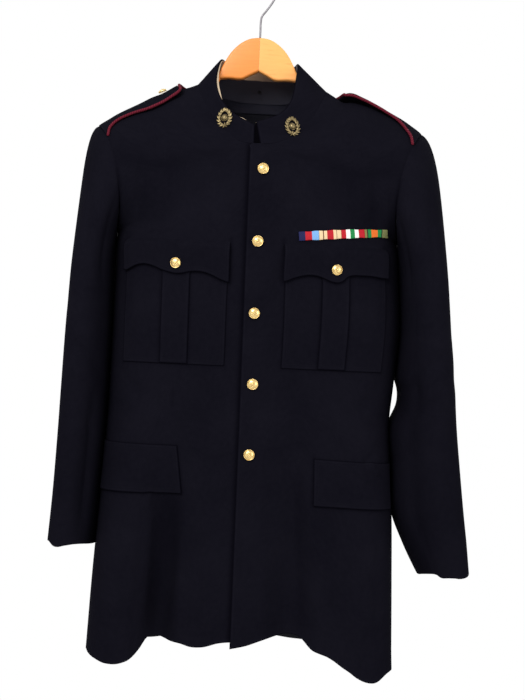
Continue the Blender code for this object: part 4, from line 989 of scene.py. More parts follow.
# Creases of a sleeve: side, round it (0 outside, 0.25 front, 0.5 inside, 0.75 back), drop,
# round it, drop, half width in millimetres, how far out
SLEEVE_CREASES = (
    (-1, 0.12, 330, 0.26, 470, 9, -2.2), (-1, 0.30, 360, 0.36, 480, 7, -1.8),
    (-1, 0.18, 560, 0.40, 610, 9, -2.6), (-1, 0.16, 596, 0.38, 630, 7, 1.6),
    (-1, 0.20, 640, 0.36, 690, 8, -1.6), (-1, 0.34, 640, 0.33, 840, 12, -4.2),
    (-1, 0.24, 660, 0.25, 845, 11, 1.8), (-1, 0.60, 560, 0.84, 620, 10, -2.4),
    (-1, 0.62, 660, 0.80, 690, 9, 1.6), (-1, 0.70, 700, 0.74, 840, 12, -2.2),
    (-1, 0.88, 340, 0.76, 470, 9, -1.9), (-1, 0.95, 480, 0.05, 520, 12, -1.4),
    (1, 0.12, 330, 0.24, 480, 10, -2.2), (1, 0.32, 350, 0.37, 470, 7, -1.8),
    (1, 0.16, 560, 0.40, 618, 10, -2.8), (1, 0.18, 604, 0.38, 642, 8, 1.7),
    (1, 0.20, 650, 0.38, 720, 9, -2.2), (1, 0.33, 560, 0.31, 850, 14, -4.0),
    (1, 0.22, 660, 0.22, 860, 12, 1.9), (1, 0.62, 560, 0.86, 610, 10, -2.3),
    (1, 0.60, 650, 0.82, 700, 9, 1.5), (1, 0.72, 690, 0.76, 850, 12, -2.2),
    (1, 0.88, 340, 0.75, 480, 9, -2.0), (1, 0.96, 500, 0.04, 540, 12, -1.3),
)


def sleeve_ring(side, phi, drop):
    """Points round the sleeve at phi (an array), at each drop (an array)."""
    inner, outer, half_depth, middle, turned = through(SLEEVE_RINGS[side], drop).T[..., None]
    c, s = np.cos(2 * math.pi * phi), np.sin(2 * math.pi * phi)
    power = 2 / SLEEVE_SQUARENESS
    outwards = np.sign(c) * np.abs(c) ** power
    across = (inner + outer) / 2 + (outer - inner) / 2 * outwards
    depth = middle - turned * outwards - half_depth * np.sign(s) * np.abs(s) ** power
    height = np.broadcast_to(-np.reshape(drop, (-1, 1)), across.shape)
    return np.stack([across, depth, height], axis=-1)


def sleeve_start(side, phi):
    """The sleeve's edge at the armhole, and the way the cloth leaves it."""
    phi = phi % 1.0
    front = phi < 0.5
    at = np.where(front, 1 - 2 * phi, 2 * phi - 1)
    start = np.where(front[:, None], armhole(side, at, True), armhole(side, at, False))
    low = ease(1 - at / 0.45)
    start[:, 0] += SEAM_GAP + (ARMHOLE_CLEARANCE - SEAM_GAP) * ease((1 - at) / 0.35)
    start[:, 0] += (UNDERARM_CLEARANCE - ARMHOLE_CLEARANCE) * low
    start[:, 2] += 0.5 * low
    face = np.where(front, -1.0, 1.0)
    around = np.sin(2 * math.pi * np.where(front, phi, 1 - phi))
    edge = np.array(LEAVES_EDGE, float) * np.stack([face * 0 + 1, face, face * 0 + 1], axis=1)
    high_share, low_share = ease((at - 0.45) / 0.55)[:, None], ease(at / 0.45)[:, None]
    above = np.array(LEAVES_TOP[side], float) * high_share + edge * (1 - high_share)
    below = edge * low_share + np.array(LEAVES_BOTTOM, float) * (1 - low_share)
    leave = np.where((at > 0.45)[:, None], above, below)
    leave[:, 1] *= np.maximum(around, 0)
    return start, leave


def sleeve_grid(side, phi, down):
    """Down 0 to 1 is the cap, from the armhole to the first ring, and 1 to 2 the rest."""
    first, last = SLEEVE_RINGS[side][0][0], SLEEVE_RINGS[side][-1][0]
    start, leave = sleeve_start(side, phi)
    end = sleeve_ring(side, phi, np.array([first]))[0]
    arrive = (sleeve_ring(side, phi, np.array([first + 20]))[0] - end) / 20
    arrive = arrive * ((start[:, 2] - end[:, 2]) * 0.9)[:, None]
    t = np.minimum(down, 1)[:, None, None]
    cap = ((2 * t**3 - 3 * t**2 + 1) * start + (3 * t**2 - 2 * t**3) * end
           + (t**3 - 2 * t**2 + t) * leave + (t**3 - t**2) * arrive)
    rest = sleeve_ring(side, phi, first + (last - first) * np.maximum(down - 1, 0))
    rest[:, :, 2] -= through(CUFF_EDGE[side], phi % 1.0)[:, 0] * ease((down - 1.6) / 0.4)[:, None]
    grid = np.where((down <= 1)[:, None, None], cap, rest) * (side, 1, 1)
    outward = unit(np.cross(np.gradient(grid, axis=1), np.gradient(grid, axis=0))) * side
    girth = np.linalg.norm(np.diff(grid, axis=1), axis=2).sum(axis=1).mean() / (phi[-1] - phi[0])
    drop, move = -grid[:, :, 2], np.zeros(grid.shape[:2])
    for which, p0, z0, p1, z1, half, reach in SLEEVE_CREASES:
        if which != side:
            continue
        turn = p1 - p0 if abs(p1 - p0) < 0.5 else p1 + 1 - p0
        off_start = (phi[None, :] - p0 + 0.5) % 1.0 - 0.5
        way = (turn * girth, z1 - z0)
        move += reach * furrow(off_start * girth, drop - z0, way, half, 0, 0.15)
    move *= ease(down / 0.25)[:, None]
    return grid + outward * move[:, :, None], outward


# %% Sleeve pieces
def sleeve_piece(side, top):
    start, end = (-SLEEVE_SEAM, SLEEVE_SEAM) if top else (SLEEVE_SEAM, 1 - SLEEVE_SEAM)
    phi = start + (end - start) * spaced(300 if top else 150, 3.0)
    inner, _ = sleeve_grid(side, phi, spaced(620, 3.4) * 2)
    outward = unit(np.cross(np.gradient(inner, axis=1), np.gradient(inner, axis=0))) * side
    # At the armhole the sleeve faces the way the body does, so that their faces meet
    ahead, back = BODY[(side, True)], BODY[(side, False)]
    turn = phi % 1.0
    height = UNDERARM + (1 - UNDERARM) * np.abs(1 - 2 * turn)
    meeting = np.where((turn < 0.5)[:, None], ahead.at(1.0, height)[1], back.at(1.0, height)[1])
    share = ease(1 - runs(inner, 0) / 9.0)[..., None]
    outward = unit(meeting * share + outward * (1 - share))
    name = ("sleeve_top_" if top else "sleeve_under_") + side_name(side)
    return cloth_piece("cloth_" + name, inner[::-1], outward[::-1], WALL, WOOL_OVER_LINING, name,
                       "navy_wool", rests_on=["cloth_front_" + side_name(side)], free="bottom")


sleeves = [sleeve_piece(side, top) for side in (-1, 1) for top in (True, False)]
print("sleeves:", triangles(sleeves), "triangles")

# %% [markdown]
# ## The stand collar
# The collar is a band that stands on the neckline and leans in, its two ends meeting edge to
# edge at the front. Its bottom follows the necklines of the fronts and backs, and a table
# gives its top edge on each side, because the two halves don't hang alike. Inside it is a
# tan facing, and below that, inside the back, a charcoal one.

# %% Collar lines
# at, wearer's right across, wearer's left across, depth, right drop, left drop
COLLAR_TOP = ((0.00, 6.9, -5.1, -74.0, 246.5, 242.0), (0.08, 17.0, 8.5, -73.0, 241.5, 237.0),
              (0.20, 37.5, 27.5, -66.0, 229.0, 227.0), (0.34, 57.5, 42.5, -47.0, 204.0, 204.0),
              (0.48, 66.0, 48.5, -24.0, 172.0, 169.0), (0.60, 61.5, 50.8, -2.0, 139.5, 141.5),
              (0.76, 48.0, 42.5, 28.0, 138.5, 138.5), (0.90, 21.0, 19.0, 42.0, 139.5, 139.5),
              (1.00, 0.0, 0.0, 45.0, 140.0, 140.0))
COLLAR_MEETING = -6.0
COLLAR_OPENING = {-1: -0.3, 1: 8.0}
COLLAR_CLOTH = 2.4
COLLAR_SEAM = -0.9


def collar_half(side, count):
    """The collar's bottom and top from the front end to the centre back."""
    front, back = BODY[(side, True)], BODY[(side, False)]
    ahead, _ = front.at(0.0, np.linspace(NECK_FRONT, 1, 200))
    behind, _ = back.at(0.0, np.linspace(1, NECK_BACK, 120))
    start = COLLAR_MEETING + COLLAR_OPENING[side]
    ahead = ahead[(ahead[:, 0] - start) * side > 0]
    first = np.array([[start, *ahead[0, 1:]]])
    behind[-1, 0] = 0.0
    bottom = np.concatenate([first, ahead, behind[1:]])
    share = np.linspace(0, 1, count)
    bottom = spread_along(bottom, share)
    across, drop = (1, 4) if side > 0 else (0, 3)
    table = through(COLLAR_TOP, share)
    top = np.stack([table[:, across] * side, table[:, 2], -table[:, drop]], axis=1)
    return bottom, top


def collar_pairs(count):
    """Bottom and top lines from the right front, round the back, to the left front."""
    right, left = collar_half(-1, count), collar_half(1, count)
    return [np.concatenate([a, b[-2::-1]]) for a, b in zip(right, left)]


def collar_places(bottom, top, up):
    """Points at heights (an array, 0 at the neckline and 1 at the top edge)."""
    rise = unit(top - bottom)
    low = bottom + rise * COLLAR_SEAM
    return low + (top - low) * np.asarray(up)[..., None]


def outward_of(grid, away):
    """Normals of a grid, turned the same way as the direction away."""
    normals = unit(np.cross(np.gradient(grid, axis=1), np.gradient(grid, axis=0)))
    return normals if (normals * away).sum() > 0 else -normals


# %% The collar and its facings
bottom, top = collar_pairs(110)
heights = spaced(52, 2.2)
inner = collar_places(bottom, top, heights[:, None] * np.ones(len(bottom)))
outward = outward_of(inner, inner * (1, 1, 0))
collar = cloth_piece("cloth_collar", inner, outward, COLLAR_CLOTH, (PLAIN_WOOL, PLAIN_WOOL),
                     "collar", "navy_wool", rests_on=["cloth_front_left", "cloth_back_left"],
                     plump=0.25, free="first last top")

# A tab behind the collar's ends carries the hook and eye. It is painted near black, darker
# than the wool, as the shade in the gap between the ends.
low, high = bottom[[0, -1]], top[[0, -1]]
share = np.linspace(-0.15, 1.15, 14)[None, :, None]
ends = [line[0] + (line[1] - line[0]) * share[0] for line in (low, high)]
tab_grid = collar_places(ends[0], ends[1], 0.05 + 0.90 * spaced(40, 3.0)[:, None] * np.ones(14))
tab_out = outward_of(tab_grid, tab_grid * (0, 1, 0))
cloth_piece("collar_tab", tab_grid + tab_out * 0.1, tab_out, 0.8, (SHADE_TAPE, SHADE_TAPE), None,
            "navy_wool", held="laid", rests_on=["cloth_collar"], roll=0.8)

LINING_CLOTH = 1.1
LINING_GAP = 0.35
# The facing's lower edge, as a share of the collar's height, and how far its upper edge rises
# past the collar's, in fiftieths of that, at places round it from the right front
FACING_START = -0.05
PEEP = ((0.00, 0.0), (0.02, 0.6), (0.045, 0.9), (0.06, 1.9), (0.075, 1.2), (0.09, -1.5), (0.15, -2.0),
        (0.165, 0.0), (0.19, 4.0), (0.22, 4.6), (0.26, 2.4), (0.30, -0.4), (0.36, -1.6), (0.50, -1.6),
        (0.66, -1.2), (0.70, 1.2), (0.74, -1.2), (0.80, -1.0),
        (0.87, -0.8), (0.935, -0.6), (0.95, 0.7), (0.985, 0.9), (1.00, 0.2))
girth = np.linalg.norm(np.diff(top, axis=0), axis=1).sum() * MM
peep = through(PEEP, np.linspace(0, 1, len(bottom)))[:, 0] / 50
heights = spaced(46, 2.2)
inner = collar_places(bottom, top, FACING_START + (1 - FACING_START + peep) * heights[:, None])
outward = outward_of(inner, inner * (1, 1, 0))
COLLAR_FACING = collar_facing("tan collar facing", 0.085, 0.035, (-0.004, 0.0185))
collar_lining = cloth_piece("collar_facing", inner - outward * (LINING_GAP + LINING_CLOTH), outward,
                            LINING_CLOTH, (COLLAR_FACING, COLLAR_FACING), "collar_lining",
                            "pale_lining", held="laid", rests_on=["cloth_collar"], origin="middle")

# The back's facing, from just under the neckline to a level line below it
FACING_REACH, FACING_DROP = 66.0, 204.0
halves = []
for side in (-1, 1):
    back = BODY[(side, False)]
    neckline, _ = back.at(0.0, np.linspace(NECK_BACK, 1, 120))
    across = np.linspace(FACING_REACH, 0.05, 50)
    across = across if side < 0 else across[::-1]
    highest = np.interp(across, neckline[:, 0] * side, -neckline[:, 2]) + 1.2
    drop = FACING_DROP + (highest - FACING_DROP) * np.linspace(0, 1, 12)[:, None]
    u = back.columns(across[None, :] + 0 * drop, drop)
    halves.append(back.at(u, back.level(u, drop), -(LINING_GAP + LINING_CLOTH)))
(right, right_out), (left, left_out) = halves
inner = np.concatenate([right, left[:, 1:]], axis=1)
outward = np.concatenate([right_out, left_out[:, 1:]], axis=1)
neck_facing = cloth_piece("back_neck_lining", inner, outward, LINING_CLOTH,
                          (NECK_LINING, NECK_LINING), "back_neck_facing", "dark_lining",
                          held="laid", rests_on=["cloth_back_left", "cloth_back_right"])
print("collar round its top edge:", round(girth * 100, 1), "cm;",
      triangles([collar, collar_lining, neck_facing]), "triangles")

# %% [markdown]
# ## What is sewn on the fronts
# Patch pockets, their box pleats and flaps all lie on the fronts. Each is cut from the
# front's own points, moved out by the cloth under it, so it bends and creases with the body.
# Pleats are pressed: their long edges stand a little prouder than their middle. A flap's
# lower edge hangs free, so it lifts by a millimetre, and along it and the sides, as along
# every patch's edges, a thin shadow is painted onto the cloth beneath.

# %% Pocket places
LAY_GAP = 0.15
POCKET_CLOTH = 1.4
ON_PANEL = WALL + LAY_GAP
ON_POCKET = ON_PANEL + POCKET_CLOTH + LAY_GAP
ON_PLEAT = ON_POCKET + POCKET_CLOTH + LAY_GAP
POCKET_INNER, POCKET_MIDDLE, POCKET_OUTER = 42, 115, 192
POCKET_SHIFT = {-1: -7.0, 1: 4.0}
POCKET_TOP, POCKET_BOTTOM, POCKET_BUTTON_DROP = 418, 590, 447
PLEAT_WIDTH = 40
FLAP_TOP, FLAP_MARGIN = 411, 2.5
# Distance outwards from the flap's middle, drop of its lower edge, by side
FLAP_EDGE = {
    -1: ((-80, 470), (-72, 471), (-64, 468.5), (-52, 463), (-40, 459), (-30, 458), (-18, 459),
         (-8, 461.5), (0, 462), (9, 460.5), (20, 457.5), (32, 452.5), (46, 449.5), (58, 451.5),
         (68, 456), (74, 459), (80, 457.5)),
    1: ((-80, 468), (-72, 466.5), (-64, 463), (-52, 459), (-36, 456.5), (-26, 457.5), (-18, 460),
        (-8, 464), (0, 465.5), (9, 463), (16, 456.5), (24, 454), (36, 453.5), (52, 453.5),
        (66, 455), (80, 455.5)),
}
# The lower flaps' corners, by side: along the cloth from the centre line, and drop,
# for the inner end's top and bottom and the outer end's top and bottom
LOWER_FLAP = {-1: ((97, 706), (86, 774), (226, 706), (226, 777.5)),
              1: ((99, 716), (103, 783), (226, 721), (226, 787.5))}


def pocket_columns(side):
    cloth = BODY[(side, True)]
    middle_drop = (POCKET_TOP + POCKET_BOTTOM) / 2
    runs_out = np.array([POCKET_INNER, POCKET_MIDDLE, POCKET_OUTER]) + POCKET_SHIFT[side]
    return [float(u) for u in cloth.place(runs_out, middle_drop)]


SHADES = []


def shade(names, line, half, dark):
    """Notes that the pieces named are darkened within half a width of a line."""
    SHADES.append((names, smooth_line(np.asarray(line, float), 1.5), half, dark))


def smooth_line(line, spacing):
    """The same line with points an even distance apart."""
    return spread_along(line, np.linspace(0, 1, max(4, round(lengths(line)[-1] / spacing))))


def patch(name, node, side, start, end, top, bottom, lift, thickness, finish, across=150, up=170,
          under="front", shaded=0.45, **more):
    """Cloth lying on a front between two columns, and between two edges given for arrays of u.
    Start and end are each a u, or one for the bottom and one for the top."""
    cloth = BODY[(side, True)]
    share = spaced(up, 2.2)[:, None]
    first, last = ((np.interp(share, (0, 1), ends)) for ends in (start, end))
    u = first + (last - first) * spaced(across, 2.2)[None, :]
    drop = bottom(u) + (top(u) - bottom(u)) * share
    rise = lift(share, u) if callable(lift) else lift
    inner, outward = cloth.at(u, cloth.level(u, drop), rise)
    if callable(lift):
        outward = outward_of(inner, outward)
    beneath = [f"cloth_{each}_{side_name(side)}" for each in under.split()]
    for edge, share in ((inner[0], 1.0), (inner[:, 0], 0.7), (inner[:, -1], 0.7)):
        shade(beneath, edge, 3.2, shaded * share)
    return cloth_piece(name, inner, outward, thickness, (finish, PLAIN_WOOL), node, "navy_wool",
                       held="laid", rests_on=["cloth_front_" + side_name(side)], **more)


def constant(value):
    return lambda u: np.full_like(u, float(value))


# %% Breast pockets with pleats and flaps
def breast_pocket(side):
    inner, _, outer = pocket_columns(side)
    name = "breast_pocket_" + side_name(side)
    return patch("cloth_" + name, name, side, (inner, inner), (outer, outer),
                 constant(POCKET_TOP), constant(POCKET_BOTTOM), ON_PANEL, POCKET_CLOTH,
                 TWICE_STITCHED_WOOL, 150, 172, shaded=0.25)


def box_pleat(side):
    inner, middle, outer = pocket_columns(side)
    half = (outer - inner) * PLEAT_WIDTH / (POCKET_OUTER - POCKET_INNER) / 2
    name = "box_pleat_" + side_name(side)

    def pressed(share, u):
        return ON_POCKET + 0.55 * (np.abs(u - middle) / half) ** 3 + 0 * share

    return patch("cloth_" + name, name, side, (middle - half,) * 2, (middle + half,) * 2,
                 constant(POCKET_TOP + 1), constant(POCKET_BOTTOM - 1), pressed, POCKET_CLOTH,
                 STITCHED_WOOL, 39, 170, "breast_pocket")


def breast_flap(side):
    inner, middle, outer = pocket_columns(side)
    scale = (outer - inner) / (POCKET_OUTER - POCKET_INNER)

    def lower_edge(u):
        return through(FLAP_EDGE[side], ((u - middle) / scale).ravel())[:, 0].reshape(u.shape)

    def lift(share, u):
        free = 0.9 * (1 - share) ** 2 * (0.6 + 0.4 * np.cos((u - middle) / scale / 17.0))
        sunk = -2.9 * ease((share - 0.88) / 0.10)
        return ON_PANEL + (ON_PLEAT + 0.6 - ON_PANEL) * ease((0.9 - share) / 0.14) + free + sunk

    name = "breast_flap_" + side_name(side)
    return patch("cloth_" + name, name, side, (inner - FLAP_MARGIN * scale,) * 2,
                 (outer + FLAP_MARGIN * scale,) * 2, constant(FLAP_TOP), lower_edge, lift,
                 POCKET_CLOTH, TWICE_STITCHED_WOOL, 155, 50, "front breast_pocket box_pleat", 0.6,
                 free="first last bottom")


pockets = [make(side) for side in (-1, 1) for make in (breast_pocket, box_pleat, breast_flap)]
print("breast pockets:", triangles(pockets), "triangles")


# %% Lower flaps
def lower_flap(side):
    cloth = BODY[(side, True)]
    (in_top, top), (in_low, low), (out_top, out_drop), (out_low, out_bottom) = LOWER_FLAP[side]
    start = [float(cloth.place(*corner)) for corner in ((in_low, low), (in_top, top))]
    end = [float(cloth.place(*corner)) for corner in ((out_low, out_bottom), (out_top, out_drop))]
    name = "lower_flap_" + side_name(side)

    def level_edge(first, last):
        return lambda u: first + (last - first) * (u - start[0]) / (end[0] - start[0])

    def lift(share, u):
        return ON_PANEL + 0.2 + 1.3 * (1 - share) ** 2 + 0 * u

    return patch("cloth_" + name, name, side, start, end, level_edge(top, out_drop),
                 level_edge(low, out_bottom), lift, 1.8, TWICE_STITCHED_WOOL, 130, 67)


flaps = [lower_flap(side) for side in (-1, 1)]
print("lower flaps:", triangles(flaps), "triangles")

# %% [markdown]
# ## The ribbon bar
# Four short lengths of striped ribbon are mounted edge to edge on a pin bar. A ribbon is
# woven with its stripes in the warp, so each stripe is one thread colour from top to bottom,
# crossed by a fine rib. The stripes here are a table of widths and colours, read by a colour
# ramp that doesn't blend. Stripes like these are traditional and belong to nobody.

# %% Ribbon finish
THREADS = {
    "navy": (0.008, 0.011, 0.062), "red": (0.42, 0.010, 0.018), "sky": (0.17, 0.36, 0.66),
    "cream": (0.70, 0.52, 0.30), "brown": (0.12, 0.045, 0.02), "white": (0.78, 0.78, 0.72),
    "green": (0.010, 0.20, 0.050), "khaki": (0.20, 0.17, 0.05), "orange": (0.72, 0.15, 0.02),
    "olive": (0.18, 0.19, 0.07), "black": (0.008, 0.008, 0.010),
}
# For each ribbon: thread, and where its stripe ends across the ribbon
RIBBONS = (
    (("navy", 0.32), ("red", 0.65), ("sky", 1.0)),
    (("cream", 0.17), ("brown", 0.215), ("cream", 0.36), ("red", 0.65), ("cream", 0.79),
     ("brown", 0.815), ("cream", 1.0)),
    (("red", 0.20), ("white", 0.39), ("green", 0.59), ("white", 0.77), ("red", 1.0)),
    (("khaki", 0.10), ("black", 0.15), ("green", 0.31), ("orange", 0.64), ("green", 0.82),
     ("black", 0.86), ("olive", 1.0)),
)
RIBBON_WIDTHS = (28.7, 31.5, 33.4, 34.4)
# Its left end's place across the tunic, and its middle's drop at its two ends
RIBBON_HEIGHT, RIBBON_CLOTH, RIBBON_START = 12.5, 1.2, 62.0
RIBBON_DROP = (402.9, 389.5)


def striped(name, stripes, width):
    silk = Finish(name, roughness=0.6, Specular_IOR_Level=0.12)
    flat = silk.place("cloth")
    x, y, _ = silk.node("SeparateXYZ", {0: flat}).outputs
    wander = silk.between(silk.noise(flat, 220.0), 0, 1, -0.008, 0.008)
    share = silk.sums("MULTIPLY_ADD", x, 1 / (width * MM), wander)
    ramp = silk.node("ValToRGB", {"Fac": share})
    ramp.color_ramp.interpolation = "CONSTANT"
    marks = ramp.color_ramp.elements
    start = 0.0
    for index, (thread, end) in enumerate(stripes):
        mark = marks[index] if index < 2 else marks.new(start)
        mark.position = start
        mark.color = (*THREADS[thread], 1)
        start = end
    rib = silk.sums("SINE", silk.sums("MULTIPLY", y, 2 * math.pi / 0.0009))
    fuzz = silk.noise(flat, 1400.0, 2.0)
    shade = silk.between(silk.sums("MULTIPLY_ADD", rib, 0.25, fuzz), 0.1, 0.8, 0.35, 0.0)
    silk.join(silk.mixed(shade, ramp.outputs[0], (0.02, 0.015, 0.02)), "Base Color")
    silk.join(silk.bump(rib, 0.00012, 0.6), "Normal")
    return silk.material


# %% Ribbon pieces
def ribbon(index):
    cloth = BODY[(1, True)]
    begin, width = sum(RIBBON_WIDTHS[:index]), RIBBON_WIDTHS[index]
    along = spaced(width, 1.2, (0, 0.3, 0.8))
    share = spaced(RIBBON_HEIGHT, 1.0, (0, 0.3, 0.8))[:, None]
    total = sum(RIBBON_WIDTHS)
    lean = math.atan2(RIBBON_DROP[1] - RIBBON_DROP[0], total)
    run = begin + 0.08 + (width - 0.16) * along
    uneven = 0.35 * np.sin(along * 9.0 + index * 2.1)
    up = (share - 0.5) * (RIBBON_HEIGHT + 2 * uneven)
    across = RIBBON_START + run * math.cos(lean) + up * math.sin(lean)
    drop = RIBBON_DROP[0] + run * math.sin(lean) - up * math.cos(lean)
    u = cloth.columns(across, drop)
    bulge = np.sin(share * math.pi) ** 0.5 * (0.5 + 0.5 * np.sin(along * math.pi) ** 0.3)
    inner, outward = cloth.at(u, cloth.level(u, drop), ON_PANEL + 0.2 + 0.7 * np.nan_to_num(bulge))
    finish = striped(f"ribbon weave {index + 1}", RIBBONS[index], width)
    name = f"ribbon_{index + 1}"
    shade(["cloth_front_left"], inner[0], 3.0, 0.35)
    return cloth_piece("woven_" + name, inner, outward, RIBBON_CLOTH, (finish, finish), name,
                       name, held="laid", rests_on=["cloth_front_left"], roll=0.7)


ribbons = [ribbon(index) for index in range(4)]
print("ribbon bar:", round(sum(RIBBON_WIDTHS)), "mm long,", triangles(ribbons), "triangles")

# %% [markdown]
# ## Buttons
# A uniform button is a thin domed shell of gilt brass with a raised rim and a pattern struck
# in relief. This one has a plain pattern of its own: a small boss with a ring of petals
# round it. It is shaped from a disc: the disc's edge is extruded and resized into a
# rim and a back, its face is inset and raised into a dome, and petals and rim beads are
# turned round it from one of each.

# %% One button
def edit_all(piece):
    """Goes into edit mode with the whole of a piece selected."""
    pick(piece)
    bpy.ops.object.mode_set(mode="EDIT")
    bpy.ops.mesh.select_all(action="SELECT")


def close_up():
    """Turns the fronts of all the faces outwards, and leaves edit mode."""
    bpy.ops.mesh.select_all(action="SELECT")
    bpy.ops.mesh.normals_make_consistent(inside=False)
    bpy.ops.object.mode_set(mode="OBJECT")


def raised_disc(corners, radius, steps):
    """A disc drawn up into a shell: each step rises, in metres, and resizes the top face."""
    rest_selection()
    bpy.ops.mesh.primitive_circle_add(vertices=corners, radius=radius, fill_type="NGON",
                                      location=(0, 0, 0))
    disc = bpy.context.object
    edit_all(disc)
    bpy.ops.mesh.normals_make_consistent(inside=False)
    for rise, size in steps:
        bpy.ops.mesh.extrude_region_move(TRANSFORM_OT_translate={"value": (0, 0, rise)})
        bpy.ops.transform.resize(value=(size, size, 1))
    bpy.ops.mesh.poke()
    close_up()
    return disc


def small_ball(segments, rings, radius):
    rest_selection()
    bpy.ops.mesh.primitive_uv_sphere_add(segments=segments, ring_count=rings, radius=radius,
                                         location=(0, 0, 0))
    return bpy.context.object


def join(parts, name):
    rest_selection()
    for part in parts:
        part.select_set(True)
    bpy.context.view_layer.objects.active = parts[0]
    bpy.ops.object.join()
    parts[0].name = name
    return parts[0]


def in_place(piece):
    """Puts a piece's place, turn and size into its mesh."""
    pick(piece)
    bpy.ops.object.transform_apply(location=True, rotation=True, scale=True)
    rest_selection()
    return piece


def struck(parts, name, finish):
    """Parts joined into one pattern piece of one metal, smooth but for its sharp turns."""
    whole = in_place(join(parts, name))
    whole.data.materials.clear()
    whole.data.materials.append(finish)
    pick(whole)
    bpy.ops.object.shade_smooth_by_angle(angle=math.radians(50))
    return whole


# The back, the edge and the rim, then the well inside the rim, then the dome: how far each
# step rises, as a share of the height, and how much it resizes
BUTTON_STEPS = ((0.10, 1.06), (0.14, 1.03), (0.16, 0.985), (0.12, 0.94), (-0.05, 0.93), (0.02, 0.96),
                (0.14, 0.90), (0.14, 0.82), (0.11, 0.70), (0.05, 0.5), (0.02, 0.3))
# Petals, seeds between them, rim beads and boss: how many, how far out, how high, size
BUTTON_RELIEF = ((8, 0.44, 0.80, (0.17, 0.105, 0.11)), (8, 0.65, 0.64, (0.075, 0.06, 0.07)),
                 (26, 0.925, 0.50, (0.062, 0.09, 0.06)), (1, 0.0, 0.93, (0.17, 0.17, 0.13)))


def model_button(radius, height):
    """A button lying face up at the origin, its back at zero."""
    r, h = radius * MM, height * MM
    parts = [raised_disc(40, r * 0.92, [(h * rise, size) for rise, size in BUTTON_STEPS])]
    for count, reach, up, size in BUTTON_RELIEF:
        first = small_ball(8, 5, r)
        edit_all(first)
        bpy.ops.transform.resize(value=size)
        bpy.ops.object.mode_set(mode="OBJECT")
        for vertex in first.data.vertices:
            vertex.co.y *= 1.0 - 0.35 * vertex.co.x / (size[0] * r) if count == 8 else 1.0
        half = 0.5 if count == 8 and reach > 0.5 else 0.0
        for place in range(count):
            turn = 2 * math.pi * (place + half) / count
            bead = first if place == 0 else first.copy()
            if place:
                bead.data = first.data.copy()
                scene.collection.objects.link(bead)
            bead.matrix_world = (Matrix.Rotation(turn, 4, "Z")
                                 @ Matrix.Translation((reach * r, 0, up * h))
                                 @ Matrix.Rotation(0.35 if count == 8 else 0.0, 4, "Y"))
            parts.append(bead)
    return struck(parts, "button pattern", GILT)


def set_on(pattern, name, spot, face, turn, node):
    """A copy of a pattern piece with its own mesh, standing on the cloth. Face is the frame
    that it stands in, as a matrix, and turn how far it is turned about its own middle."""
    piece = pattern.copy()
    piece.data = pattern.data.copy()
    piece.name = name
    scene.collection.objects.link(piece)
    piece.matrix_world = (Matrix.Translation(Vector(spot) * MM) @ face.to_4x4()
                          @ Matrix.Rotation(turn, 4, "Z"))
    in_place(piece)
    declare(piece, node)
    return piece


def button_on(pattern, name, spot, out, turn):
    face = Vector(out).to_track_quat("Z", "Y").to_matrix()
    return set_on(pattern, "gilt_" + name, spot, face, turn, name)


# %% All the buttons
# Along the cloth from the centre line, and drop
FRONT_BUTTONS = ((7.8, 310), (5.0, 412.5), (4.6, 513.5), (6.7, 614), (6.2, 714))
button_8 = model_button(8.0, 5.2)
button_7 = model_button(7.7, 5.0)
button_6 = model_button(6.5, 4.4)
buttons = []
lapped = BODY[(1, True)]
for index, (run, drop) in enumerate(FRONT_BUTTONS):
    u = lapped.place(run, drop)
    spot, out = lapped.at(u, lapped.level(u, drop), WALL + 0.2)
    name = f"front_button_{index + 1}"
    buttons.append(button_on(button_8, name, spot, out, index * 1.3))
for side in (-1, 1):
    cloth = BODY[(side, True)]
    u = pocket_columns(side)[1]
    spot, out = cloth.at(u, cloth.level(u, POCKET_BUTTON_DROP), ON_PLEAT + POCKET_CLOTH + 0.9)
    name = "pocket_button_" + side_name(side)
    buttons.append(button_on(button_7, name, spot, out, side * 0.7))
print(len(buttons), "buttons of", triangles(buttons[:1]), "triangles")

# %% [markdown]
# ## Collar badges
# Small metal badges are pinned to the collar's ends. These are plain ones of their own
# pattern: an open wreath of leaves on two stems round a plain dome, in brass that has
# darkened. One leaf is shaped from a small sphere, pulled to a point and creased down its
# middle, and set up both stems in pairs. The dome is extruded from a disc.

# %% One badge
def model_leaf(length, width, height):
    leaf = small_ball(12, 7, 1.0)
    for vertex in leaf.data.vertices:
        x, y, z = vertex.co
        slim = (1 - abs(x) ** 1.6 * (0.85 if x > 0 else 0.45))
        vein = 0.35 * math.exp(-((y * slim) / 0.16) ** 2)
        vertex.co = (x * length / 2, y * slim * width / 2,
                     max(z, -0.3) * height * (1 - vein * (z > 0)))
    return leaf


# How far each step of the dome rises, in millimetres, and how much it resizes
DOME_STEPS = ((1.4, 0.98), (0.2, 0.93), (-0.2, 0.93), (0.5, 0.96), (0.9, 0.92), (0.8, 0.82),
              (0.6, 0.68), (0.3, 0.5), (0.1, 0.3))


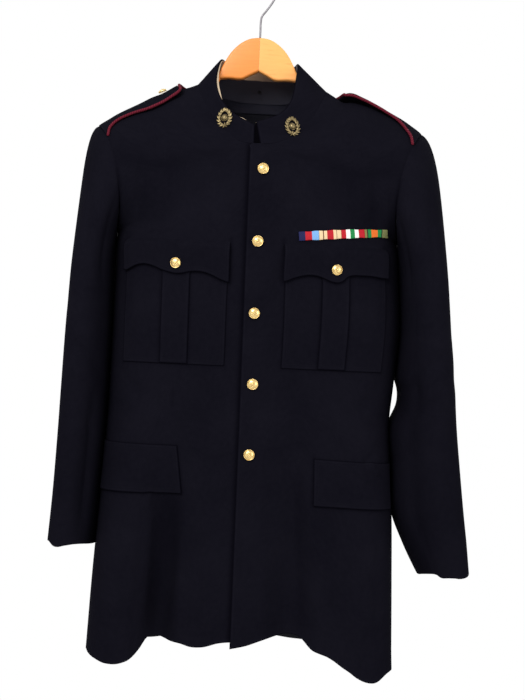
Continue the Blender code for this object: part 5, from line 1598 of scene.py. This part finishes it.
def model_badge(radius, wide, tall):
    r = radius * MM
    parts = [raised_disc(32, r * 0.42, [(rise * MM, size) for rise, size in DOME_STEPS])]
    for side in (-1, 1):
        for step in range(7):
            turn = math.radians(-74 + 24 * step)
            spot = Vector((side * 0.74 * r * wide * math.cos(turn),
                           0.78 * r * tall * math.sin(turn), 1.0 * MM))
            for lean, size in ((-26, 0.62), (20, 0.52)):
                leaf = model_leaf(size * r, 0.27 * r, (1.0 if lean < 0 else 1.3) * MM)
                way = turn + math.radians(90 + lean)
                leaf.matrix_world = (Matrix.Translation(spot)
                                     @ Matrix.Rotation(way if side > 0 else math.pi - way, 4, "Z")
                                     @ Matrix.Rotation(-0.12, 4, "Y")
                                     @ Matrix.Translation((0.2 * r, 0, 0)))
                parts.append(leaf)
    for lean in (-40, 40, 180):
        tie = model_leaf(0.5 * r, 0.2 * r, 1.1 * MM)
        tie.matrix_world = (Matrix.Translation((0, -0.80 * r * tall, 1.0 * MM))
                            @ Matrix.Rotation(math.radians(lean - 90), 4, "Z")
                            @ Matrix.Translation((0.16 * r, 0, 0)))
        parts.append(tie)
    return struck(parts, "badge pattern", OLD_BRASS)


# %% Both badges
# Along the half of the collar, up it, and how far it turns back to upright, in degrees
BADGE_PLACE = {-1: (0.220, 0.45, 44), 1: (0.2075, 0.33, -40)}
badge_pattern = model_badge(13.0, 0.84, 1.16)
badges = []
for side in (-1, 1):
    node = "collar_badge_" + side_name(side)
    along_half, rise, turned_up = BADGE_PLACE[side]
    half_bottom, half_top = collar_half(side, 160)
    middles = half_bottom + (half_top - half_bottom) * rise
    column = round(along_half * 159)
    upward = unit(half_top[column] - half_bottom[column])
    along = unit(middles[column + 3] - middles[column - 3])
    out = unit(np.cross(along, upward) * side)
    spot = middles[column] + out * (COLLAR_CLOTH + 0.5)
    face = Matrix([list(np.cross(upward, out)), list(upward), list(out)]).transposed()
    badges.append(set_on(badge_pattern, "brass_" + node, spot, face, math.radians(turned_up), node))
print("two badges of", triangles(badges[:1]), "triangles")

# %% [markdown]
# ## Shoulder straps
# A strap runs from the neck to the shoulder's end over the seam where front and back meet.
# It is two layers of wool, so it is thicker than the tunic, and it bows up a little between
# its ends. Its points come from the front and the back on either side of the seam, moved
# out. The end towards the neck is rounded, and a red cord is sewn all round the free edge.

# %% Strap lines
STRAP_CLOTH = 2.6
# Where a strap starts and ends, as shares of the shoulder's length from the neck
STRAP_INNER, STRAP_OUTER = 0.195, 0.997
# at, how far it spreads down the front and down the back, as shares of their height, by side
STRAP_SPREAD = {
    -1: ((0.00, 0.024, 0.034), (0.10, 0.025, 0.034), (0.20, 0.030, 0.035), (0.30, 0.035, 0.036),
         (0.40, 0.037, 0.036), (0.50, 0.034, 0.036), (0.60, 0.032, 0.037), (0.70, 0.032, 0.037),
         (0.80, 0.034, 0.038), (0.90, 0.043, 0.039), (0.95, 0.053, 0.040), (1.00, 0.071, 0.040)),
    1: ((0.00, 0.004, 0.044), (0.50, 0.004, 0.044), (0.62, 0.005, 0.043), (0.70, 0.009, 0.042),
        (0.80, 0.022, 0.041), (0.85, 0.030, 0.040), (0.90, 0.037, 0.040), (0.95, 0.047, 0.040),
        (1.00, 0.063, 0.040)),
}
# at, lift over the wearer's right and left shoulder
STRAP_BOW = ((0.00, 6.4, 10.5), (0.08, 4.5, 11.4), (0.20, 2.4, 8.2), (0.34, 2.8, 5.6), (0.46, 1.7, 4.0),
             (0.62, 1.2, 2.2), (0.77, 0.8, 1.5), (0.90, 0.3, 0.6), (1.00, 0.2, 0.2))
ROUND_END = 0.085


def strap_grid(side, along, aside, lift=0.0):
    """Points at places along the strap (0 at the neck) and aside (-1 front edge, 1 back edge)."""
    u = STRAP_INNER + (STRAP_OUTER - STRAP_INNER) * along
    spread = through(STRAP_SPREAD[side], along.ravel()).T.reshape(2, *along.shape)
    corner = np.clip(1 - along / ROUND_END, 0, 1)
    spread = spread * (1 - 0.52 * (1 - np.sqrt(np.maximum(1 - corner**2.2, 0))))
    bow = through(STRAP_BOW, along.ravel())[:, 0 if side < 0 else 1].reshape(along.shape)
    up = WALL + 0.15 + bow + lift
    front, back = BODY[(side, True)], BODY[(side, False)]
    ahead, n_ahead = front.at(u, 1 - spread[0] * np.maximum(-aside, 0), up)
    behind, n_behind = back.at(u, 1 - spread[1] * np.maximum(aside, 0), up)
    _, seam_front = front.at(u, np.ones_like(u))
    _, seam_back = back.at(u, np.ones_like(u))
    seam_out = unit(seam_front + seam_back)
    own = np.where((aside < 0)[..., None], n_ahead, n_behind)
    near = ease(1 - np.abs(aside) / 0.5)[..., None]
    out = unit(own * (1 - near) + seam_out * near)
    spot = np.where((aside < 0)[..., None], ahead, behind) + (out - own) * up[..., None]
    return spot, out


def round_corners(points):
    """Takes the ridge out of a grid along its middle by averaging neighbours a few times."""
    for _ in range(10):
        points[1:-1] = points[1:-1] * 0.5 + (points[:-2] + points[2:]) * 0.25
    return points


# %% Straps
def shoulder_strap(side):
    along, aside = spaced(150, 2.4), spaced(44, 1.6) * 2 - 1
    inner, out = strap_grid(side, *np.broadcast_arrays(along[None, :], aside[:, None]))
    inner = round_corners(inner)
    name = "shoulder_strap_" + side_name(side)
    return cloth_piece("cloth_" + name, inner, outward_of(inner, out), STRAP_CLOTH,
                       (STITCHED_WOOL, PLAIN_WOOL), name, "navy_wool", held="laid",
                       rests_on=["cloth_front_" + side_name(side), "cloth_back_" + side_name(side)],
                       roll=1.3, plump=0.5)


straps = [shoulder_strap(side) for side in (-1, 1)]
print("straps:", triangles(straps), "triangles")

# %% [markdown]
# ## Red piping
# The cord is a round tube that follows the strap's rim at half its thickness. A curve with a
# bevel would do for a plain tube, but the twist of the cord needs a flat map that runs round
# and along it, so the tube is built ring by ring.


# %% A tube along a line
def tube(name, line, radius, finish, sides=12):
    """Rings round a line of points in millimetres, with closed ends."""
    line = np.asarray(line, float)
    way = unit(np.gradient(line, axis=0))
    across = unit(np.cross(way[0], (0.0, 0.0, 1.0) if abs(way[0, 2]) < 0.9 else (1.0, 0.0, 0.0)))
    turn = np.linspace(0, 2 * math.pi, sides, endpoint=False)
    rings = []
    for spot, direction in zip(line, way):
        across = unit(across - direction * np.dot(across, direction))
        other = np.cross(direction, across)
        rings.append(spot + radius * (np.cos(turn)[:, None] * across
                                      + np.sin(turn)[:, None] * other))
    points = np.concatenate([np.concatenate(rings), line[:1] - way[:1] * radius * 0.5,
                             line[-1:] + way[-1:] * radius * 0.5])
    count = len(line)
    faces = []
    for r in range(count - 1):
        for s in range(sides):
            a, b = r * sides + s, r * sides + (s + 1) % sides
            faces.append((a, b, b + sides, a + sides))
    for s in range(sides):
        faces.append((count * sides, (s + 1) % sides, s))
        last = (count - 1) * sides
        faces.append((count * sides + 1, last + s, last + (s + 1) % sides))
    piece = into_object(name, points, faces, (finish,))
    run = lengths(line)
    places = np.stack(np.broadcast_arrays(turn[None, :] * radius, run[:, None]), axis=-1)
    places = places.reshape(-1, 2)
    flat_map(piece, np.concatenate([places, [(0, 0), (0, run[-1])]]) * MM)
    return piece


# %% Piping round the straps
PIPING_RADIUS = 2.05


def piping(side):
    long_way, short_way = np.linspace(1.0, 0.004, 120), np.linspace(-1, 1, 40)
    edge = [strap_grid(side, long_way, np.full(120, -1.0), STRAP_CLOTH / 2)[0],
            strap_grid(side, np.full(40, 0.002), short_way, STRAP_CLOTH / 2)[0],
            strap_grid(side, long_way[::-1], np.full(120, 1.0), STRAP_CLOTH / 2)[0]]
    rim = smooth_line(np.concatenate(edge), 2.0)
    middle = strap_grid(side, np.full(1, 0.5), np.zeros(1))[0][0]
    way = unit(np.gradient(rim, axis=0))
    up = strap_grid(side, np.full(1, 0.5), np.zeros(1))[1][0]
    out = unit(np.cross(way, up))
    out = out if (out * (rim - middle)).sum() > 0 else -out
    rim = rim + out * (PIPING_RADIUS + 0.1)
    for _ in range(4):
        rim[1:-1] = rim[1:-1] * 0.5 + (rim[:-2] + rim[2:]) * 0.25
    name = "strap_piping_" + side_name(side)
    piece = tube("cord_" + name, rim, PIPING_RADIUS, RED_CORD)
    declare(piece, name)
    return piece


cords = [piping(side) for side in (-1, 1)]
# How far back from the strap's middle its button sits, and how many of these places nearer
# the neck than its solid's
BUTTON_ASIDE = {-1: 0.0, 1: 0.28}
BUTTON_PLACES, BUTTON_NEARER = 60, 2
for side in (-1, 1):
    low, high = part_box("strap_button_" + side_name(side))
    middle = (np.array(low) + np.array(high)) / 2 / MM
    name = "strap_button_" + side_name(side)
    share = np.linspace(0, 1, BUTTON_PLACES)
    aside = np.full(BUTTON_PLACES, BUTTON_ASIDE[side])
    places, outs = strap_grid(side, share, aside, STRAP_CLOTH + 0.2)
    column = int(np.argmin(np.linalg.norm(places - middle, axis=1))) - BUTTON_NEARER
    buttons.append(button_on(button_6, name, places[column], outs[column], side))
print("piping:", triangles(cords), "triangles")

# %% [markdown]
# ## The hanger
# A flat wooden hanger is sawn from a board and its edges are rounded over. Each arm starts
# as a disc with as many corners as the outline has points. The corners are drawn to the
# outline, the face is extruded through the board's thickness, and the edges are bevelled,
# as a router would do. The two arms meet along the middle of the head.

# %% The arms
HANGER_SHIFT, HANGER_THICKNESS, HANGER_CLEARANCE = -6.0, 13.0, 4.5
HANGER_TOP = ((0, 103), (14, 105), (26, 111), (36, 119.5), (43, 128), (49, 138), (54, 148), (59, 157),
              (68, 167), (86, 184.5))
HANGER_SEAM_START, HANGER_REACH = 106, 216
HANGER_TIP = ((5, 6), (3, 16), (-6, 20))
HANGER_UNDER = ((200, 245), (150, 223), (102, 207), (77, 192), (60, 174), (56, 166), (44, 165),
                (24, 165), (12, 159), (0, 153))


def curve_through(points, spacing):
    """A smooth outline through corner points, as points an even distance apart."""
    points = np.array(points, float)
    run = lengths(points)
    wanted = np.linspace(0, run[-1], round(run[-1] / spacing))
    return through(np.column_stack([run, points]), wanted)


def hanger_outline(side):
    shoulder = BODY[(side, True)].points[-1]
    top = list(HANGER_TOP)
    for across in np.linspace(HANGER_SEAM_START, HANGER_REACH, 11):
        place = across + HANGER_SHIFT * side
        drop = -np.interp(place, shoulder[:, 0] * side, shoulder[:, 2])
        top.append((across, drop + HANGER_CLEARANCE))
    tip = top[-1]
    end = [(tip[0] + across, tip[1] + drop) for across, drop in HANGER_TIP]
    outer = curve_through([*top, *end, *HANGER_UNDER[:6]], 3.4)
    lower = curve_through(HANGER_UNDER[5:], 3.4)
    outline = np.concatenate([outer, lower[1:]])
    outline[:, 0] = np.maximum(outline[:, 0], 0.1)
    return outline


def hanger_arm(side):
    outline = hanger_outline(side)
    rest_selection()
    bpy.ops.mesh.primitive_circle_add(vertices=len(outline), radius=0.1, fill_type="NGON",
                                      location=(0, 0, 0))
    arm = bpy.context.object
    half = HANGER_THICKNESS / 2 * MM
    for vertex, (across, drop) in zip(arm.data.vertices, outline):
        vertex.co = ((across * side + HANGER_SHIFT) * MM, -half, -drop * MM)
    edit_all(arm)
    bpy.ops.mesh.extrude_region_move(TRANSFORM_OT_translate={"value": (0, 2 * half, 0)})
    close_up()
    weights = arm.data.attributes.new("bevel_weight_edge", "FLOAT", "EDGE")
    for edge in arm.data.edges:
        a, b = (arm.data.vertices[i].co for i in edge.vertices)
        at_middle = max(abs(a.x - HANGER_SHIFT * MM), abs(b.x - HANGER_SHIFT * MM)) < 0.3 * MM
        rim = abs(a.y - b.y) < 1e-6
        weights.data[edge.index].value = float(rim and not at_middle)
    rounding = arm.modifiers.new("rounded edges", "BEVEL")
    rounding.width = 3.4 * MM
    rounding.segments = 6
    rounding.limit_method = "WEIGHT"
    rounding.use_clamp_overlap = True
    bpy.ops.object.modifier_apply(modifier="rounded edges")
    edit_all(arm)
    bpy.ops.mesh.quads_convert_to_tris(quad_method="BEAUTY", ngon_method="BEAUTY")
    bpy.ops.object.mode_set(mode="OBJECT")
    bpy.ops.object.shade_smooth_by_angle(angle=math.radians(35))
    name = "hanger_arm_" + side_name(side)
    arm.name = "wood_" + name
    arm.data.materials.append(WARM_WOOD if side < 0 else PALE_WOOD)
    declare(arm, name)
    return arm


arms = [hanger_arm(side) for side in (-1, 1)]
print("arms:", triangles(arms), "triangles")

# %% [markdown]
# ## The hook
# The hook is one length of steel wire, bent round a former. It is drawn as a smooth curve
# through its own points, given a round section, and turned into a mesh.

# %% The wire
WIRE_RADIUS, CROOK_RADIUS, CROOK_DROP = 1.5, 23.5, 22.0
STEM = ((-6.0, 102.7), (-6.0, 92), (-6.0, 80), (-4.8, 71), (1.5, 62), (9.0, 51))
route = list(STEM)
for step in range(17):
    turn = math.radians(-48 + (212 + 48) * step / 16)
    route.append((CROOK_RADIUS * math.cos(turn), CROOK_DROP - CROOK_RADIUS * math.sin(turn)))
path = curve_through(route, 1.5)
rest_selection()
path = np.stack([path[:, 0], 0 * path[:, 0], -path[:, 1]], axis=1)
hook = tube("wire_hook", path, WIRE_RADIUS, WIRE, 16)
declare(hook, "hanger_hook")
print("hook of", round(lengths(path)[-1] / 10, 1), "cm of wire")

# %% [markdown]
# ## Shade along the seams
# Wool this dark shows its seams only by the soft shade along them: beneath a flap's edge,
# beside the lap, down the armholes, and on the sides of the sleeves that face the body. The
# lines were noted as the pieces were made. Here every piece that lies beneath one gets an
# attribute, from 0 to 1, by its distance from the line as seen from the front.

# %% Writing the shade
lap = BODY[(1, True)]
v = np.linspace(0, NECK_FRONT, 300)
shade(["cloth_front_right"], lap.at(np.zeros(300), v)[0] - (1.0, 0, 0), 4.2, 0.6)
for side in (-1, 1):
    own = side_name(side)
    height = np.linspace(0, 1, 100)
    seam = armhole(side, height, True) * (side, 1, 1)
    cloths = [f"cloth_{each}_{own}" for each in ("front", "sleeve_top", "sleeve_under")]
    shade(cloths, seam[:55], 3.0, 0.35)
    shade(cloths, seam[52:85], 2.4, 0.12)
# pieces, across and drop at the top, across and drop at the bottom, half width, how dark
SOFT_SHADES = (
    ("front_right", -102, 775, -109, 1000, 20, 0.26),
    ("front_left", 78, 745, 92, 950, 9, 0.22),
    ("front_right", -106, 628, -107, 650, 3, 0.22),
    ("sleeve_top_right sleeve_under_right", -208, 560, -222, 860, 16, 0.14),
    ("sleeve_top_left sleeve_under_left", 224, 580, 262, 850, 26, 0.20),
    ("front_right", -206, 430, -206, 640, 7, 0.08),
    ("front_left", 216, 430, 214, 640, 7, 0.18),
)
for names, x0, z0, x1, z1, half, dark in SOFT_SHADES:
    shade(["cloth_" + name for name in names.split()], ((x0, 0, -z0), (x1, 0, -z1)), half, dark)
# Cloth further back than this isn't shaded by what is in front
SHADE_DEPTH = 40
shaded = 0
for piece in [each for each in scene.objects if each.name.startswith("cloth_")]:
    spots = np.empty(len(piece.data.vertices) * 3)
    piece.data.vertices.foreach_get("co", spots)
    spots = spots.reshape(-1, 3) / MM
    depth = np.zeros(len(spots))
    for names, line, half, dark in SHADES:
        if piece.name not in names:
            continue
        flat, way = spots[:, [0, 2]], line[:, [0, 2]]
        low, high = way.min(axis=0) - 3 * half, way.max(axis=0) + 3 * half
        near = np.flatnonzero(((flat > low) & (flat < high)).all(axis=1)
                              & (spots[:, 1] < SHADE_DEPTH))
        for start in range(0, len(near), 4000):
            some = near[start:start + 4000]
            off = np.sqrt(((flat[some, None] - way[None]) ** 2).sum(axis=2)).min(axis=1)
            depth[some] = np.maximum(depth[some], dark * np.exp(-((off / half) ** 2)))
    write_mark(piece, "shade", depth)
    shaded += 1
print(len(SHADES), "lines shade", shaded, "pieces")

# %% [markdown]
# ## Done
# The patterns that the copies were taken from leave the scene, the flat sizes of the cut are
# printed for the cutter, and the size of the whole is printed.

# %% Sizes and finish
for pattern in (button_8, button_7, button_6, badge_pattern):
    bpy.data.objects.remove(pattern, do_unlink=True)
for name, (width, length, area) in CUTS.items():
    print(f"{name}: {width} x {length} cm, {area} square cm")
low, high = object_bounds()
print("visual box", [round(x, 4) for x in (*low, *high)])
